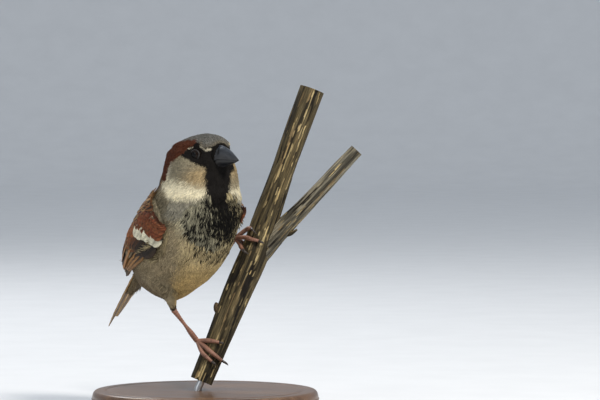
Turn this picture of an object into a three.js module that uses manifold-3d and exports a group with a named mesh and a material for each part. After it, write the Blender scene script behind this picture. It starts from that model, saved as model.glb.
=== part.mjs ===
// A male house sparrow clinging to a steep, forked dead stem, on a small display stand.
// Millimetres, +Z up. The origin is the centre of the stand's underside; +X and -Y are the sides the
// sparrow looks towards. Every sub-part is a closed solid, kept GAP apart from its neighbours.

import * as THREE from 'three';
import { mergeVertices } from 'three/addons/utils/BufferGeometryUtils.js';
import Module from 'manifold-3d';

const wasm = await Module();
wasm.setup();

// ---------------------------------------------------------------- driving dimensions

const GAP = 0.3;

// The bird frame: x forward, y to the bird's left, z up, centred in the trunk.
const BIRD_AT = new THREE.Vector3( - 7.8, - 8, 76.1 );
const BIRD_HEADING = - 58;
// The head frame: x along the bill, y to the bird's left. Turned left and rolled left side up.
const HEAD_AT = new THREE.Vector3( 10.5, 3, 36.5 );
const HEAD_TURN = 10;
const HEAD_ROLL = 10;

// Level slices of head, neck and trunk in the bird frame, from the crown down. Turn swings a slice
// from the trunk's heading towards the head's; a squareness over 2 fills out its corners.
const BODY_SLICES = [
	// height, centre x, centre y, reach ahead, reach behind, half width, turn, squareness
	[ 46.4, 12.6, 3.1, 0, 0, 0, 10, 2 ], // crown
	[ 45.2, 12.1, 3.1, 6.8, 7.4, 5.8, 10, 2.1 ],
	[ 42.2, 9.5, 3.3, 12.0, 13.0, 10.8, 10, 2.3 ], // forehead
	[ 40.2, 8.3, 3.2, 13.4, 14.0, 12.1, 10, 2.3 ], // brow
	[ 38.2, 7.0, 2.6, 14.4, 14.7, 12.9, 10, 2.2 ], // eyes
	[ 34.0, 6.2, 2.7, 15.8, 16.0, 14.5, 9, 2 ], // chin
	[ 29.5, 5.2, 3.1, 17.2, 16.9, 15.6, 8, 2 ], // cheeks
	[ 24.0, 5.4, 3.0, 19.2, 18.8, 17.0, 5, 2 ], // neck
	[ 17.5, 5.0, 1.7, 22.4, 22.4, 19.5, 2, 2 ],
	[ 8.0, 2.2, 0.6, 25.4, 26.2, 20.6, 0, 2 ], // breast
	[ - 2.0, - 3.0, 0.1, 27.0, 28.4, 20.6, 0, 2 ],
	[ - 10.3, - 8.4, - 0.2, 27.0, 28.2, 18.9, 0, 2 ], // belly
	[ - 17.4, - 11.5, 0, 22.5, 25.0, 14.8, 0, 2 ],
	[ - 22.0, - 14.0, 0, 17.0, 20.0, 11.2, 0, 2 ],
	[ - 26.4, - 13.8, 0, 8.6, 11.0, 6.0, 0, 2 ],
	[ - 28.4, - 13.0, 0, 0, 0, 0, 0, 2 ], // vent
];
// Soft swellings and hollows of the plumage, the same on both sides of the head.
const FACE = [
	{ rise: 0.8, height: 31, spread: 5, bearing: 55, arc: 26 }, // cheek
	{ rise: - 2, height: 38.2, spread: 2.6, bearing: 46, arc: 20 }, // eye hollow
];
const NECK_CUTS = [ { x: 6, z: 27, tilt: 8 }, { x: 5, z: 18, tilt: 16 } ];

const EYE = { x: 4.2, y: 8.1, z: 2.1, radius: 2.4 };
const BILL = { base: 10.1, length: 11.8, width: 8, culmen: 4.4, tomium: - 1, gonys: - 4.7, tip: - 1.7 };

// The closed tail leaves the rump pointing back and down, and twists towards its tip.
const TAIL = { x: - 22.5, z: 0.3, pitch: 43, length: 59, rootWidth: 8, tipWidth: 12.5, thickness: 2.2 };
const TAIL_TWIST = { root: 14, tip: 40 };
const TAIL_COVERTS = [
	// distance down the tail, half width, half depth
	[ 0, 8, 5.6 ], [ 10, 8.2, 5.4 ], [ 20, 7, 4.6 ], [ 30, 5.2, 2.8 ], [ 39, 3.6, 1.6 ],
];

// The folded wing's outer surface, from shoulder to wing tip: three rails in the bird frame.
const WING_RAILS = {
	lower: [
		[ 12.6, - 19.5, 6 ], [ 7, - 20.8, - 3.5 ], [ - 4.5, - 20.8, - 8.6 ],
		[ - 20.5, - 17.6, - 13.2 ], [ - 45, - 6.6, - 17.6 ],
	],
	middle: [
		[ 6.5, - 21.4, 15 ], [ - 4, - 21.9, 9.5 ], [ - 16.5, - 21.2, - 0.8 ],
		[ - 29.5, - 15.6, - 9 ], [ - 45, - 6.1, - 16.6 ],
	],
	upper: [
		[ - 1, - 16.6, 21 ], [ - 16.5, - 10.8, 14.5 ], [ - 26, - 9, 4.5 ],
		[ - 35.4, - 5.6, - 5 ], [ - 45.5, - 5.2, - 15.4 ],
	],
};
const WING_DEPTHS = [ [ 4.5 ], [ 6 ], [ 6 ], [ 3.6 ], [ 1.4 ] ];
const WING = { primariesFrom: 0.7, leftTuck: 8, leftShift: 2.6 };

// The stem's axis and radius, from its cut lower end up.
const STEM_KNOTS = [
	// x, y, z, radius
	[ - 1.7, - 2.8, 14, 5.0 ], [ 5.4, - 1, 31.3, 5.4 ], [ 13.9, 1.1, 52.2, 6.2 ], [ 22.2, 2.9, 71.3, 6.5 ],
	[ 26.1, 4.1, 83.5, 5.8 ], [ 30.2, 5.3, 95.3, 5.1 ], [ 39.2, 7.9, 120.9, 5.4 ], [ 46.6, 10, 141, 5.5 ],
];
const BRANCH_KNOTS = [
	[ 22.6, 3.2, 69, 5.6 ], [ 33, 3.8, 79.8, 4 ], [ 44.4, 4.5, 91.3, 3.4 ], [ 66, 6, 114.5, 3.1 ],
];
const SPUR_KNOTS = [ [ 34.5, 3, 77.5, 1.1 ], [ 37.6, 2.4, 78.2, 0.9 ], [ 40, 2.2, 80, 0.5 ] ];
const BUD = { x: 4.9, y: - 1.6, z: 46, radius: 1.5, stretch: 1.6 };
const ROD = { radius: 1.6, inStem: 12 };
const BASE = { radius: 50, height: 10, chamfer: 1.2, underRod: 3 };

// Legs: hip and heel in the bird frame; foot, toes and claws in stem coordinates, which are the
// distance up the stem, the bearing round it (0 faces -Y, 90 faces +X) and the clearance from it.
const TARSUS = { heelRadius: 1.6, shaftRadius: 0.95, footRadius: 1.5 };
const TOE = { rootRadius: 1.25, tipRadius: 0.85, clawRadius: 0.62, clawTip: 0.2 };
const LEGS = {
	right: {
		hip: [ - 7, - 7, - 14 ], heel: [ - 0.2, - 6.5, - 30.4 ], foot: [ 15.6, - 82, 3.2 ],
		toes: {
			1: { path: [ [ 15.6, - 112 ], [ 15.4, - 142 ], [ 15.2, - 172 ] ], claw: [ 15, - 212, 0.1 ] },
			2: { path: [ [ 17.2, - 50 ], [ 18.1, - 14 ], [ 18.5, 6 ] ], claw: [ 19, 25, 0.2 ] },
			3: { path: [ [ 14.6, - 50 ], [ 13.4, - 12 ], [ 12.1, 32 ], [ 11.7, 50 ] ], claw: [ 10.8, 76, 3 ] },
			4: { path: [ [ 11.9, - 50 ], [ 10.4, - 14 ], [ 9.6, 8 ] ], claw: [ 8.8, 32, 0.2 ] },
		},
	},
	left: {
		hip: [ - 10, 9, - 12 ], heel: [ - 8, 16.6, - 15 ], foot: [ 63.9, - 95, 4 ],
		toes: {
			1: { path: [ [ 63, - 118 ], [ 62.4, - 146 ], [ 62, - 174 ] ], claw: [ 61.4, - 212, 0.1 ] },
			2: { path: [ [ 61.6, - 82 ], [ 60.6, - 66 ], [ 59.8, - 48 ] ], claw: [ 58.8, - 20, 0.1 ] },
			3: { path: [ [ 65.6, - 60 ], [ 65.6, - 28 ], [ 65.8, - 2 ] ], claw: [ 65.5, 21, 0.1 ] },
			4: { path: [ [ 69.3, - 78 ], [ 70, - 62 ], [ 70.3, - 44 ] ], claw: [ 68.6, - 17, 0.1 ] },
		},
	},
};

const BODY_MESH = { around: 28, levels: 30 };

const COLOURS = {
	chestnut: 0x5f2f1f, grey: 0x7d7c74, buff: 0xa59a7c, brown: 0x6b4a2c, horn: 0x1d1f22,
	eye: 0x0b0705, skin: 0x9a5f4c, claw: 0x2b2320, bark: 0x6d6148, steel: 0x9a9c9e, walnut: 0x5a3a22,
};

// ---------------------------------------------------------------- shape helpers

const UP = new THREE.Vector3( 0, 0, 1 );
const radians = THREE.MathUtils.degToRad;
const vector = ( list ) => new THREE.Vector3( ...list );
const bell = ( x, width ) => Math.exp( - ( x * x ) / ( 2 * width * width ) );

// Catmull-Rom through the rows of a table, column by column, for t from 0 to 1. The mirrored rows
// past both ends let a surface that closes on its axis close round.
function alongRows( rows, t, mirrored ) {

	const last = rows.length - 1;
	const at = Math.min( Math.max( t, 0 ), 1 ) * last;
	const i = Math.min( Math.floor( at ), last - 1 );
	const u = at - i;
	const row = ( k, column ) => {

		if ( k >= 0 && k <= last ) return rows[ k ][ column ];
		const inside = k < 0 ? 1 : last - 1;
		const end = k < 0 ? 0 : last;
		if ( ! mirrored ) return 2 * rows[ end ][ column ] - rows[ inside ][ column ];
		return mirrored.includes( column ) ? - rows[ inside ][ column ] : rows[ inside ][ column ];

	};

	return rows[ 0 ].map( ( _, column ) => {

		const [ a, b, c, d ] = [ i - 1, i, i + 1, i + 2 ].map( ( k ) => row( k, column ) );
		return b + 0.5 * u * ( c - a + u * ( 2 * a - 5 * b + 4 * c - d + u * ( 3 * ( b - c ) + d - a ) ) );

	} );

}

// Moves every vertex of a geometry, keeping its faces.
function reshape( geometry, move ) {

	const position = geometry.getAttribute( 'position' );
	const point = new THREE.Vector3();
	for ( let i = 0; i < position.count; i ++ ) {

		point.fromBufferAttribute( position, i );
		position.setXYZ( i, ...move( point.clone() ).toArray() );

	}

	return geometry;

}

// A closed tube along a smooth curve, whose radius follows its own list of values.
function limb( points, radii, sides = 8, steps = 8, flatness = 1 ) {

	const curve = new THREE.CatmullRomCurve3( points );
	const frames = curve.computeFrenetFrames( steps, false );
	const rows = radii.map( ( radius ) => [ radius ] );
	return reshape( new THREE.CylinderGeometry( 1, 1, 1, sides, steps ), ( v ) => {

		const t = v.y + 0.5;
		const k = Math.round( t * steps );
		const radius = alongRows( rows, t )[ 0 ];
		return curve.getPointAt( t )
			.addScaledVector( frames.normals[ k ], v.x * radius )
			.addScaledVector( frames.binormals[ k ], - v.z * radius * flatness );

	} );

}

// A geometry's positions alone, with its seams merged.
function bare( geometry ) {

	const loose = geometry.index ? geometry.toNonIndexed() : geometry;
	const positions = new THREE.BufferGeometry().setAttribute( 'position', loose.getAttribute( 'position' ) );
	return mergeVertices( positions, 1e-4 );

}

// A closed mesh as a manifold solid, and back.
function solid( geometry ) {

	const merged = bare( geometry );
	const vertProperties = merged.getAttribute( 'position' ).array;
	const triVerts = new Uint32Array( merged.index.array );
	const made = new wasm.Manifold( new wasm.Mesh( { numProp: 3, vertProperties, triVerts } ) );
	if ( made.volume() > 0 ) return made;
	return new wasm.Manifold( new wasm.Mesh( { numProp: 3, vertProperties, triVerts: triVerts.reverse() } ) );

}

function geometryOf( shape ) {

	const mesh = shape.getMesh();
	return new THREE.BufferGeometry()
		.setAttribute( 'position', new THREE.BufferAttribute( mesh.vertProperties, 3 ) )
		.setIndex( new THREE.BufferAttribute( mesh.triVerts, 1 ) );

}

const largest = ( shape ) => shape.decompose().sort( ( a, b ) => b.volume() - a.volume() )[ 0 ];

function finish( colour, roughness, metalness = 0 ) {

	return new THREE.MeshStandardMaterial( { color: COLOURS[ colour ], roughness, metalness } );

}

function addMesh( group, name, shape, material ) {

	const geometry = shape.isBufferGeometry ? shape : geometryOf( shape );
	const mesh = new THREE.Mesh( geometry, material );
	mesh.name = name;
	group.add( mesh );
	return mesh;

}

// ---------------------------------------------------------------- scene graph

const model = new THREE.Group();
const bird = new THREE.Group();
bird.position.copy( BIRD_AT );
bird.rotation.z = radians( BIRD_HEADING );
const head = new THREE.Group();
head.position.copy( HEAD_AT );
head.rotation.set( radians( HEAD_ROLL ), 0, radians( HEAD_TURN ), 'ZYX' );
bird.add( head );
model.add( bird );
model.updateMatrixWorld( true );
const inHead = ( geometry ) => geometry.clone().applyMatrix4( head.matrix.clone().invert() );

// ---------------------------------------------------------------- head, neck and trunk

// The plumage's outer surface, or one that stands proud of it by a clearance.
function bodyGeometry( clearance = 0 ) {

	return reshape( new THREE.SphereGeometry( 1, BODY_MESH.around, BODY_MESH.levels ), ( v ) => {

		const t = Math.acos( THREE.MathUtils.clamp( v.y, - 1, 1 ) ) / Math.PI;
		const [ height, x, y, ahead, behind, half, turn, squareness ] = alongRows( BODY_SLICES, t, [ 3, 4, 5 ] );
		const angle = Math.atan2( - v.z, v.x );
		const bearing = Math.abs( THREE.MathUtils.radToDeg( angle ) );
		const ring = Math.hypot( v.x, v.z ) > 1e-6 ? 1 : 0;
		let out = clearance;
		for ( const part of FACE ) {

			out += part.rise * bell( bearing - part.bearing, part.arc ) * bell( height - part.height, part.spread );

		}

		const reach = ( Math.cos( angle ) > 0 ? ahead : behind ) + out;
		const square = ( part ) => ring * Math.sign( part ) * Math.abs( part ) ** ( 2 / squareness );
		const forward = reach * square( Math.cos( angle ) );
		return new THREE.Vector3( forward, ( half + out ) * square( Math.sin( angle ) ), 0 )
			.applyAxisAngle( UP, radians( turn ) )
			.add( new THREE.Vector3( x, y, height + clearance * v.y ) );

	} );

}

// From the tail's own frame, x towards its tip and y to its left, to the bird frame.
function alongTail( along, across, up ) {

	const twist = radians( THREE.MathUtils.lerp( TAIL_TWIST.root, TAIL_TWIST.tip, along / TAIL.length ) );
	return new THREE.Vector3( - along, across, up )
		.applyAxisAngle( new THREE.Vector3( 1, 0, 0 ), twist )
		.applyAxisAngle( new THREE.Vector3( 0, 1, 0 ), radians( - TAIL.pitch ) )
		.add( new THREE.Vector3( TAIL.x, 0, TAIL.z ) );

}

// The tapering coverts that wrap the tail's root, above and below.
function tailCoverts( clearance = 0 ) {

	return reshape( new THREE.CylinderGeometry( 1, 1, 1, 16, 6 ), ( v ) => {

		const [ along, width, depth ] = alongRows( TAIL_COVERTS, v.y + 0.5 );
		return alongTail( along, v.x * ( width + clearance ), v.z * ( depth + clearance ) - 0.8 );

	} );

}

// ---------------------------------------------------------------- wings and tail

function wingPoint( s, t, tuck ) {

	const [ lower, middle, upper ] = [ 'lower', 'middle', 'upper' ]
		.map( ( rail ) => vector( alongRows( WING_RAILS[ rail ], s ) ) );
	lower.z += tuck * bell( s - 0.22, 0.24 );
	const [ a, b, c ] = [ ( t - 0.5 ) * ( t - 1 ) * 2, t * ( 1 - t ) * 4, t * ( t - 0.5 ) * 2 ];
	return new THREE.Vector3()
		.addScaledVector( lower, a )
		.addScaledVector( middle, b )
		.addScaledVector( upper, c );

}

function wingGeometry( side, tuck ) {

	const step = 0.01;
	return reshape( new THREE.BoxGeometry( 1, 1, 1, 12, 6, 1 ), ( v ) => {

		const [ s, t, inner ] = [ v.x + 0.5, v.y + 0.5, v.z < 0 ];
		const point = wingPoint( s, t, tuck );
		const along = wingPoint( Math.min( s + step, 1 ), t, tuck )
			.sub( wingPoint( Math.max( s - step, 0 ), t, tuck ) );
		const across = wingPoint( s, Math.min( t + step, 1 ), tuck )
			.sub( wingPoint( s, Math.max( t - step, 0 ), tuck ) );
		const inward = along.cross( across ).normalize();
		const depth = alongRows( WING_DEPTHS, s )[ 0 ] * ( 1 - 0.5 * Math.abs( 2 * t - 1 ) ** 3 );
		if ( inner ) point.addScaledVector( inward, depth );
		if ( side < 0 ) point.y = - point.y + WING.leftShift * Math.max( 0, 1 - 2 * s );
		return point;

	} );

}

// The closed tail: narrow at its root, widening to a shallow notch between two blunt corners.
function tailGeometry( clearance = 0 ) {

	return reshape( new THREE.BoxGeometry( 1, 1, 1, 10, 4, 1 ), ( v ) => {

		const [ t, side ] = [ v.x + 0.5, v.y * 2 ];
		const width = THREE.MathUtils.lerp( TAIL.rootWidth, TAIL.tipWidth, Math.sqrt( t ) ) + 2 * clearance;
		const notch = 2.2 * ( 1 - Math.abs( side ) ) + 3.2 * Math.abs( side ) ** 4;
		const taper = THREE.MathUtils.lerp( 1, 0.4, t ) * ( 1 - 0.4 * side * side );
		const thick = TAIL.thickness * taper + 2 * clearance;
		const along = t * ( TAIL.length - notch * t + 2 * clearance ) - clearance;
		return alongTail( along, side * width / 2, 1.1 * ( 1 - side * side ) + v.z * thick );

	} );

}

// ---------------------------------------------------------------- bill and eyes, in the head frame

// One half of the bill: a cone with a domed outer face and a flat tomium.
function billHalf( upper ) {

	const rim = upper ? BILL.culmen : BILL.gonys;
	return reshape( new THREE.CylinderGeometry( 1, 1, 1, 14, 6 ), ( v ) => {

		const t = v.y + 0.5;
		const x = BILL.base + t * BILL.length;
		const shut = 1 - t ** ( upper ? 1.75 : 1.55 );
		const seam = THREE.MathUtils.lerp( BILL.tomium, BILL.tip, t ) + ( upper ? 1 : - 1 ) * GAP / 2;
		const depth = ( rim - BILL.tomium ) * shut * ( t > 0.999 ? 0 : 1 ) + ( upper ? 0.25 : - 0.25 ) * t;
		const halfWidth = ( BILL.width / 2 - ( upper ? 0 : 0.25 ) ) * ( 1 - t ** 1.35 ) + 0.22;
		const [ side, out ] = [ v.x, Math.max( v.z, 0 ) ];
		return new THREE.Vector3( x, side * halfWidth, seam + out * depth );

	} );

}

// ---------------------------------------------------------------- perch and stand

// A round limb through knots of x, y, z and radius.
function wood( knots, sides, steps, clearance = 0 ) {

	const points = knots.map( ( knot ) => vector( knot.slice( 0, 3 ) ) );
	return limb( points, knots.map( ( knot ) => knot[ 3 ] + clearance ), sides, steps );

}

const stemCurve = new THREE.CatmullRomCurve3( STEM_KNOTS.map( ( knot ) => vector( knot.slice( 0, 3 ) ) ) );
const stemLength = stemCurve.getLength();
const stemRadius = ( along ) => alongRows( STEM_KNOTS, along / stemLength )[ 3 ];

function atStem( along, bearing, distance ) {

	const axis = stemCurve.getTangentAt( along / stemLength );
	const front = new THREE.Vector3( 0, - 1, 0 ).projectOnPlane( axis ).normalize();
	const right = new THREE.Vector3().crossVectors( axis, front );
	return stemCurve.getPointAt( along / stemLength )
		.addScaledVector( front, Math.cos( radians( bearing ) ) * distance )
		.addScaledVector( right, Math.sin( radians( bearing ) ) * distance );

}

function perchGeometries( clearance = 0 ) {

	return [ wood( STEM_KNOTS, 12, 14, clearance ), wood( BRANCH_KNOTS, 10, 6, clearance ) ];

}

// The rod enters the stem's cut end along its axis and bends down into the base.
function rodGeometry( clearance ) {

	const end = stemCurve.getPointAt( 0 );
	const inside = stemCurve.getPointAt( ROD.inStem / stemLength );
	const under = end.clone().lerp( inside, - 0.35 ).setZ( BASE.height );
	const foot = under.clone().setZ( BASE.underRod );
	return limb( [ foot, under, end, inside ], Array( 4 ).fill( ROD.radius + clearance ), 10, 5 );

}

function baseGeometry() {

	const { radius, height, chamfer } = BASE;
	const profile = [
		[ 0, 0 ], [ radius - chamfer, 0 ], [ radius, chamfer ],
		[ radius, height - chamfer ], [ radius - chamfer, height ], [ 0, height ],
	].map( ( [ r, z ] ) => new THREE.Vector2( r, z ) );
	return new THREE.LatheGeometry( profile, 48 ).rotateX( Math.PI / 2 );

}

// ---------------------------------------------------------------- legs and feet, in the bird frame

function footPoint( along, bearing, clearance ) {

	return bird.worldToLocal( atStem( along, bearing, stemRadius( along ) + GAP + clearance ) );

}

function tarsusGeometry( leg, clearance = 0 ) {

	const heel = vector( leg.heel );
	const foot = footPoint( ...leg.foot );
	const points = [ 0, 0.12, 0.5, 0.9, 1 ].map( ( t ) => heel.clone().lerp( foot, t ) );
	const { heelRadius, shaftRadius, footRadius } = TARSUS;
	const radii = [ heelRadius, shaftRadius * 1.2, shaftRadius, footRadius, footRadius ];
	return limb( points, radii.map( ( radius ) => radius + clearance ), 8, 7 );

}

function thighGeometry( leg, clearance = 0 ) {

	const points = [ vector( leg.hip ), vector( leg.hip ).lerp( vector( leg.heel ), 0.6 ), vector( leg.heel ) ];
	return limb( points, [ 8, 5.2, 2.2 ].map( ( radius ) => radius + clearance ), 12, 6 );

}

// A toe from the foot round the stem, and the claw that carries on from it.
function toeGeometries( leg, digit ) {

	const { path, claw } = leg.toes[ digit ];
	const root = footPoint( ...leg.foot );
	const pads = path.map( ( [ along, bearing ] ) => footPoint( along, bearing, TOE.tipRadius + 0.2 ) );
	const start = root.clone().lerp( pads[ 0 ], 0.45 );
	const toe = limb( [ start, ...pads ], [ TOE.rootRadius * 0.85, TOE.rootRadius, TOE.tipRadius ], 7, 7 );
	const end = pads[ pads.length - 1 ];
	const tip = footPoint( claw[ 0 ], claw[ 1 ], claw[ 2 ] + TOE.clawTip );
	const last = path[ path.length - 1 ];
	const [ along, bearing ] = last.map( ( value, i ) => ( value + claw[ i ] ) / 2 );
	const knuckle = footPoint( along, bearing, TOE.tipRadius + 0.7 + claw[ 2 ] * 0.4 );
	const nail = limb( [ end, knuckle, tip ], [ TOE.clawRadius, TOE.clawRadius * 0.8, TOE.clawTip ], 6, 4 );
	return { toe, nail };

}

// ---------------------------------------------------------------- assembly

function cutSlab( { x, z, tilt } ) {

	return solid( new THREE.BoxGeometry( 90, 90, GAP ).rotateY( radians( tilt ) ).translate( x, 0, z ) );

}

function buildBird() {

	const feathered = finish( 'buff', 0.9 );
	const coverts = solid( tailCoverts() );
	const flesh = solid( bodyGeometry() ).add( coverts );
	const keepOut = solid( bodyGeometry( GAP ) ).add( solid( tailCoverts( GAP ) ) );
	const tail = solid( tailGeometry() );
	const tailRoom = solid( tailGeometry( GAP ) );
	let body = flesh.subtract( tailRoom );
	for ( const side of [ 'right', 'left' ] ) {

		const leg = LEGS[ side ];
		const sign = side === 'left' ? - 1 : 1;
		const tarsus = solid( tarsusGeometry( leg ) );
		const tarsusRoom = solid( tarsusGeometry( leg, GAP ) );
		const thigh = largest( solid( thighGeometry( leg ) ).subtract( keepOut ).subtract( tarsusRoom ) );
		body = body.subtract( tarsusRoom );
		addMesh( bird, `thigh_${ side }`, thigh, finish( 'grey', 0.9 ) );
		addMesh( bird, `tarsus_${ side }`, tarsus, finish( 'skin', 0.55 ) );
		addFoot( side, leg );

		const wing = solid( wingGeometry( sign, side === 'left' ? WING.leftTuck : 0 ) )
			.subtract( keepOut )
			.subtract( tailRoom )
			.subtract( tarsusRoom );
		addWing( side, largest( wing ) );

	}

	for ( const slab of NECK_CUTS.map( cutSlab ) ) body = body.subtract( slab );
	const [ headPart, neck, trunk ] = body.decompose().filter( ( part ) => part.volume() > 50 )
		.sort( ( a, b ) => b.boundingBox().max[ 2 ] - a.boundingBox().max[ 2 ] );
	addMesh( bird, 'trunk', trunk, feathered );
	addMesh( bird, 'neck', neck, feathered );
	addMesh( bird, 'tail', tail, finish( 'brown', 0.8 ) );
	addHead( headPart );

}

// The primaries, whose tips cross over the rump, are parted from the rest of the wing.
function addWing( side, wing ) {

	const from = vector( alongRows( WING_RAILS.middle, WING.primariesFrom ) );
	const to = vector( alongRows( WING_RAILS.middle, 1 ) );
	if ( side === 'left' ) [ from, to ].forEach( ( point ) => ( point.y *= - 1 ) );
	const slab = new THREE.BoxGeometry( GAP, 60, 60 );
	const line = to.clone().sub( from ).normalize();
	const turn = new THREE.Quaternion().setFromUnitVectors( new THREE.Vector3( 1, 0, 0 ), line );
	const cut = solid( slab.applyQuaternion( turn ).translate( ...from.toArray() ) );
	const [ coverts, primaries ] = wing.subtract( cut ).decompose().sort( ( a, b ) => b.volume() - a.volume() );
	addMesh( bird, `wing_${ side }`, coverts, finish( 'chestnut', 0.85 ) );
	addMesh( bird, `primaries_${ side }`, primaries, finish( 'brown', 0.85 ) );

}

function addFoot( side, leg ) {

	let taken = solid( tarsusGeometry( leg, GAP ) );
	for ( const piece of perchGeometries( GAP ) ) {

		taken = taken.add( solid( piece.applyMatrix4( bird.matrixWorld.clone().invert() ) ) );

	}

	for ( const digit of [ 3, 1, 2, 4 ] ) {

		const { toe, nail } = toeGeometries( leg, digit );
		const toeSolid = largest( solid( toe ).subtract( taken ) );
		taken = taken.add( solid( swollen( toe ) ) );
		const clawSolid = largest( solid( nail ).subtract( taken ) );
		addMesh( bird, `toe_${ side }_${ digit }`, toeSolid, finish( 'skin', 0.55 ) );
		addMesh( bird, `claw_${ side }_${ digit }`, clawSolid, finish( 'claw', 0.35 ) );

	}

}

// The same closed shape with its surface moved out by GAP.
function swollen( geometry ) {

	const merged = bare( geometry );
	merged.computeVertexNormals();
	const normal = merged.getAttribute( 'normal' );
	const position = merged.getAttribute( 'position' );
	for ( let i = 0; i < position.count; i ++ ) {

		const moved = new THREE.Vector3().fromBufferAttribute( position, i )
			.addScaledVector( new THREE.Vector3().fromBufferAttribute( normal, i ), GAP * 1.15 );
		position.setXYZ( i, ...moved.toArray() );

	}

	return merged;

}

function addHead( headPart ) {

	let skull = solid( inHead( geometryOf( headPart ) ) );
	for ( const upper of [ true, false ] ) {

		const half = billHalf( upper );
		skull = skull.subtract( solid( half ).add( solid( swollen( half ) ) ) );
		addMesh( head, upper ? 'bill_upper' : 'bill_lower', solid( half ), finish( 'horn', 0.35 ) );

	}

	for ( const [ side, sign ] of [ [ 'left', 1 ], [ 'right', - 1 ] ] ) {

		const at = [ EYE.x, sign * EYE.y, EYE.z ];
		const room = new THREE.SphereGeometry( EYE.radius + GAP, 12, 8 ).translate( ...at );
		skull = skull.subtract( solid( room ) );
		const ball = new THREE.SphereGeometry( EYE.radius, 12, 8 );
		addMesh( head, `eye_${ side }`, ball, finish( 'eye', 0.08 ) ).position.set( ...at );

	}

	addMesh( head, 'head', largest( skull ), finish( 'grey', 0.9 ) );

}

function buildPerch() {

	const perch = new THREE.Group();
	const bud = new THREE.SphereGeometry( BUD.radius, 8, 6 )
		.scale( 0.85, 1, BUD.stretch )
		.translate( BUD.x, BUD.y, BUD.z );
	let stem = solid( wood( SPUR_KNOTS, 8, 4 ) ).add( solid( bud ) );
	for ( const piece of perchGeometries() ) stem = stem.add( solid( piece ) );
	addMesh( perch, 'perch_stem', stem.subtract( solid( rodGeometry( GAP ) ) ), finish( 'bark', 0.9 ) );
	model.add( perch );

}

function buildStand() {

	const stand = new THREE.Group();
	const hole = solid( rodGeometry( GAP ) ).add( solid( rodGeometry( GAP ).translate( 0, 0, - GAP ) ) );
	addMesh( stand, 'stand_base', solid( baseGeometry() ).subtract( hole ), finish( 'walnut', 0.5 ) );
	addMesh( stand, 'stand_rod', rodGeometry( 0 ), finish( 'steel', 0.3, 1 ) );
	model.add( stand );

}

buildBird();
buildPerch();
buildStand();

export default model;
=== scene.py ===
import math

import bpy
import numpy as np
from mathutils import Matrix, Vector
from mathutils.bvhtree import BVHTree


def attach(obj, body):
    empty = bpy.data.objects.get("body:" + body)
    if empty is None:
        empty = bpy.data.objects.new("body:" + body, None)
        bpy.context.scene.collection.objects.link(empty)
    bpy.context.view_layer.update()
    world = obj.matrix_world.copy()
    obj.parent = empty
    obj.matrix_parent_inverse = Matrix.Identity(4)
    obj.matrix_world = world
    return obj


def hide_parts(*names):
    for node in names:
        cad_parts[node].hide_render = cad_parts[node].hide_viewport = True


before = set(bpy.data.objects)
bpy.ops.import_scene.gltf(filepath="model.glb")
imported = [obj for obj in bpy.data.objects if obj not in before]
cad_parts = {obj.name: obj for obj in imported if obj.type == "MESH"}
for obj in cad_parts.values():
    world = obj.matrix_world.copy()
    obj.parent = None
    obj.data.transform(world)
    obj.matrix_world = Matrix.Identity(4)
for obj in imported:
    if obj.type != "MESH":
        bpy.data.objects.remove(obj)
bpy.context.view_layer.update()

MM = 0.001
DENSITY = 1.0
rng = np.random.default_rng(1967)

# ------------------------------------------------------------------ the solid's own dimensions, in mm

BODY_SLICES = [
    # height, centre x, centre y, reach ahead, reach behind, half width, turn, squareness
    (46.4, 12.6, 3.1, 0, 0, 0, 10, 2), (45.2, 12.1, 3.1, 6.8, 7.4, 5.8, 10, 2.1),
    (42.2, 9.5, 3.3, 12, 13, 10.8, 10, 2.3), (40.2, 8.3, 3.2, 13.4, 14, 12.1, 10, 2.3),
    (38.2, 7, 2.6, 14.4, 14.7, 12.9, 10, 2.2), (34, 6.2, 2.7, 15.8, 16, 14.5, 9, 2),
    (29.5, 5.2, 3.1, 17.2, 16.9, 15.6, 8, 2), (24, 5.4, 3, 19.2, 18.8, 17, 5, 2),
    (17.5, 5, 1.7, 22.4, 22.4, 19.5, 2, 2), (8, 2.2, 0.6, 25.4, 26.2, 20.6, 0, 2),
    (-2, -3, 0.1, 27, 28.4, 20.6, 0, 2), (-10.3, -8.4, -0.2, 27, 28.2, 18.9, 0, 2),
    (-17.4, -11.5, 0, 22.5, 25, 14.8, 0, 2), (-22, -14, 0, 17, 20, 11.2, 0, 2),
    (-26.4, -13.8, 0, 8.6, 11, 6, 0, 2), (-28.4, -13, 0, 0, 0, 0, 0, 2),
]
FACE = [(0.8, 31, 5, 55, 26), (-2, 38.2, 2.6, 46, 20)]  # rise, height, spread, bearing, arc
BIRD_AT, BIRD_HEADING = np.array([-7.8, -8, 76.1]), math.radians(-58)
HEAD_AT, HEAD_TURN, HEAD_ROLL = np.array([10.5, 3, 36.5]), math.radians(10), math.radians(10)
EYE_X, EYE_Y, EYE_Z, EYE_RADIUS = 4.2, 8.1, 2.1, 2.4
BILL = dict(base=10.1, length=11.8, width=8, culmen=4.4, tomium=-1, gonys=-4.7, tip=-1.7)
TAIL = dict(x=-22.5, z=0.3, pitch=math.radians(43), length=59)
TAIL_TWIST = (math.radians(14), math.radians(40))
TAIL_COVERTS = [(0, 8, 5.6), (10, 8.2, 5.4), (20, 7, 4.6), (30, 5.2, 2.8), (39, 3.6, 1.6)]
WING_RAILS = (
    [(12.6, -19.5, 6), (7, -20.8, -3.5), (-4.5, -20.8, -8.6), (-20.5, -17.6, -13.2), (-45, -6.6, -17.6)],
    [(6.5, -21.4, 15), (-4, -21.9, 9.5), (-16.5, -21.2, -0.8), (-29.5, -15.6, -9), (-45, -6.1, -16.6)],
    [(-1, -16.6, 21), (-16.5, -10.8, 14.5), (-26, -9, 4.5), (-35.4, -5.6, -5), (-45.5, -5.2, -15.4)],
)
WING_DEPTHS = [(4.5,), (6,), (6,), (3.6,), (1.4,)]
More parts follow.
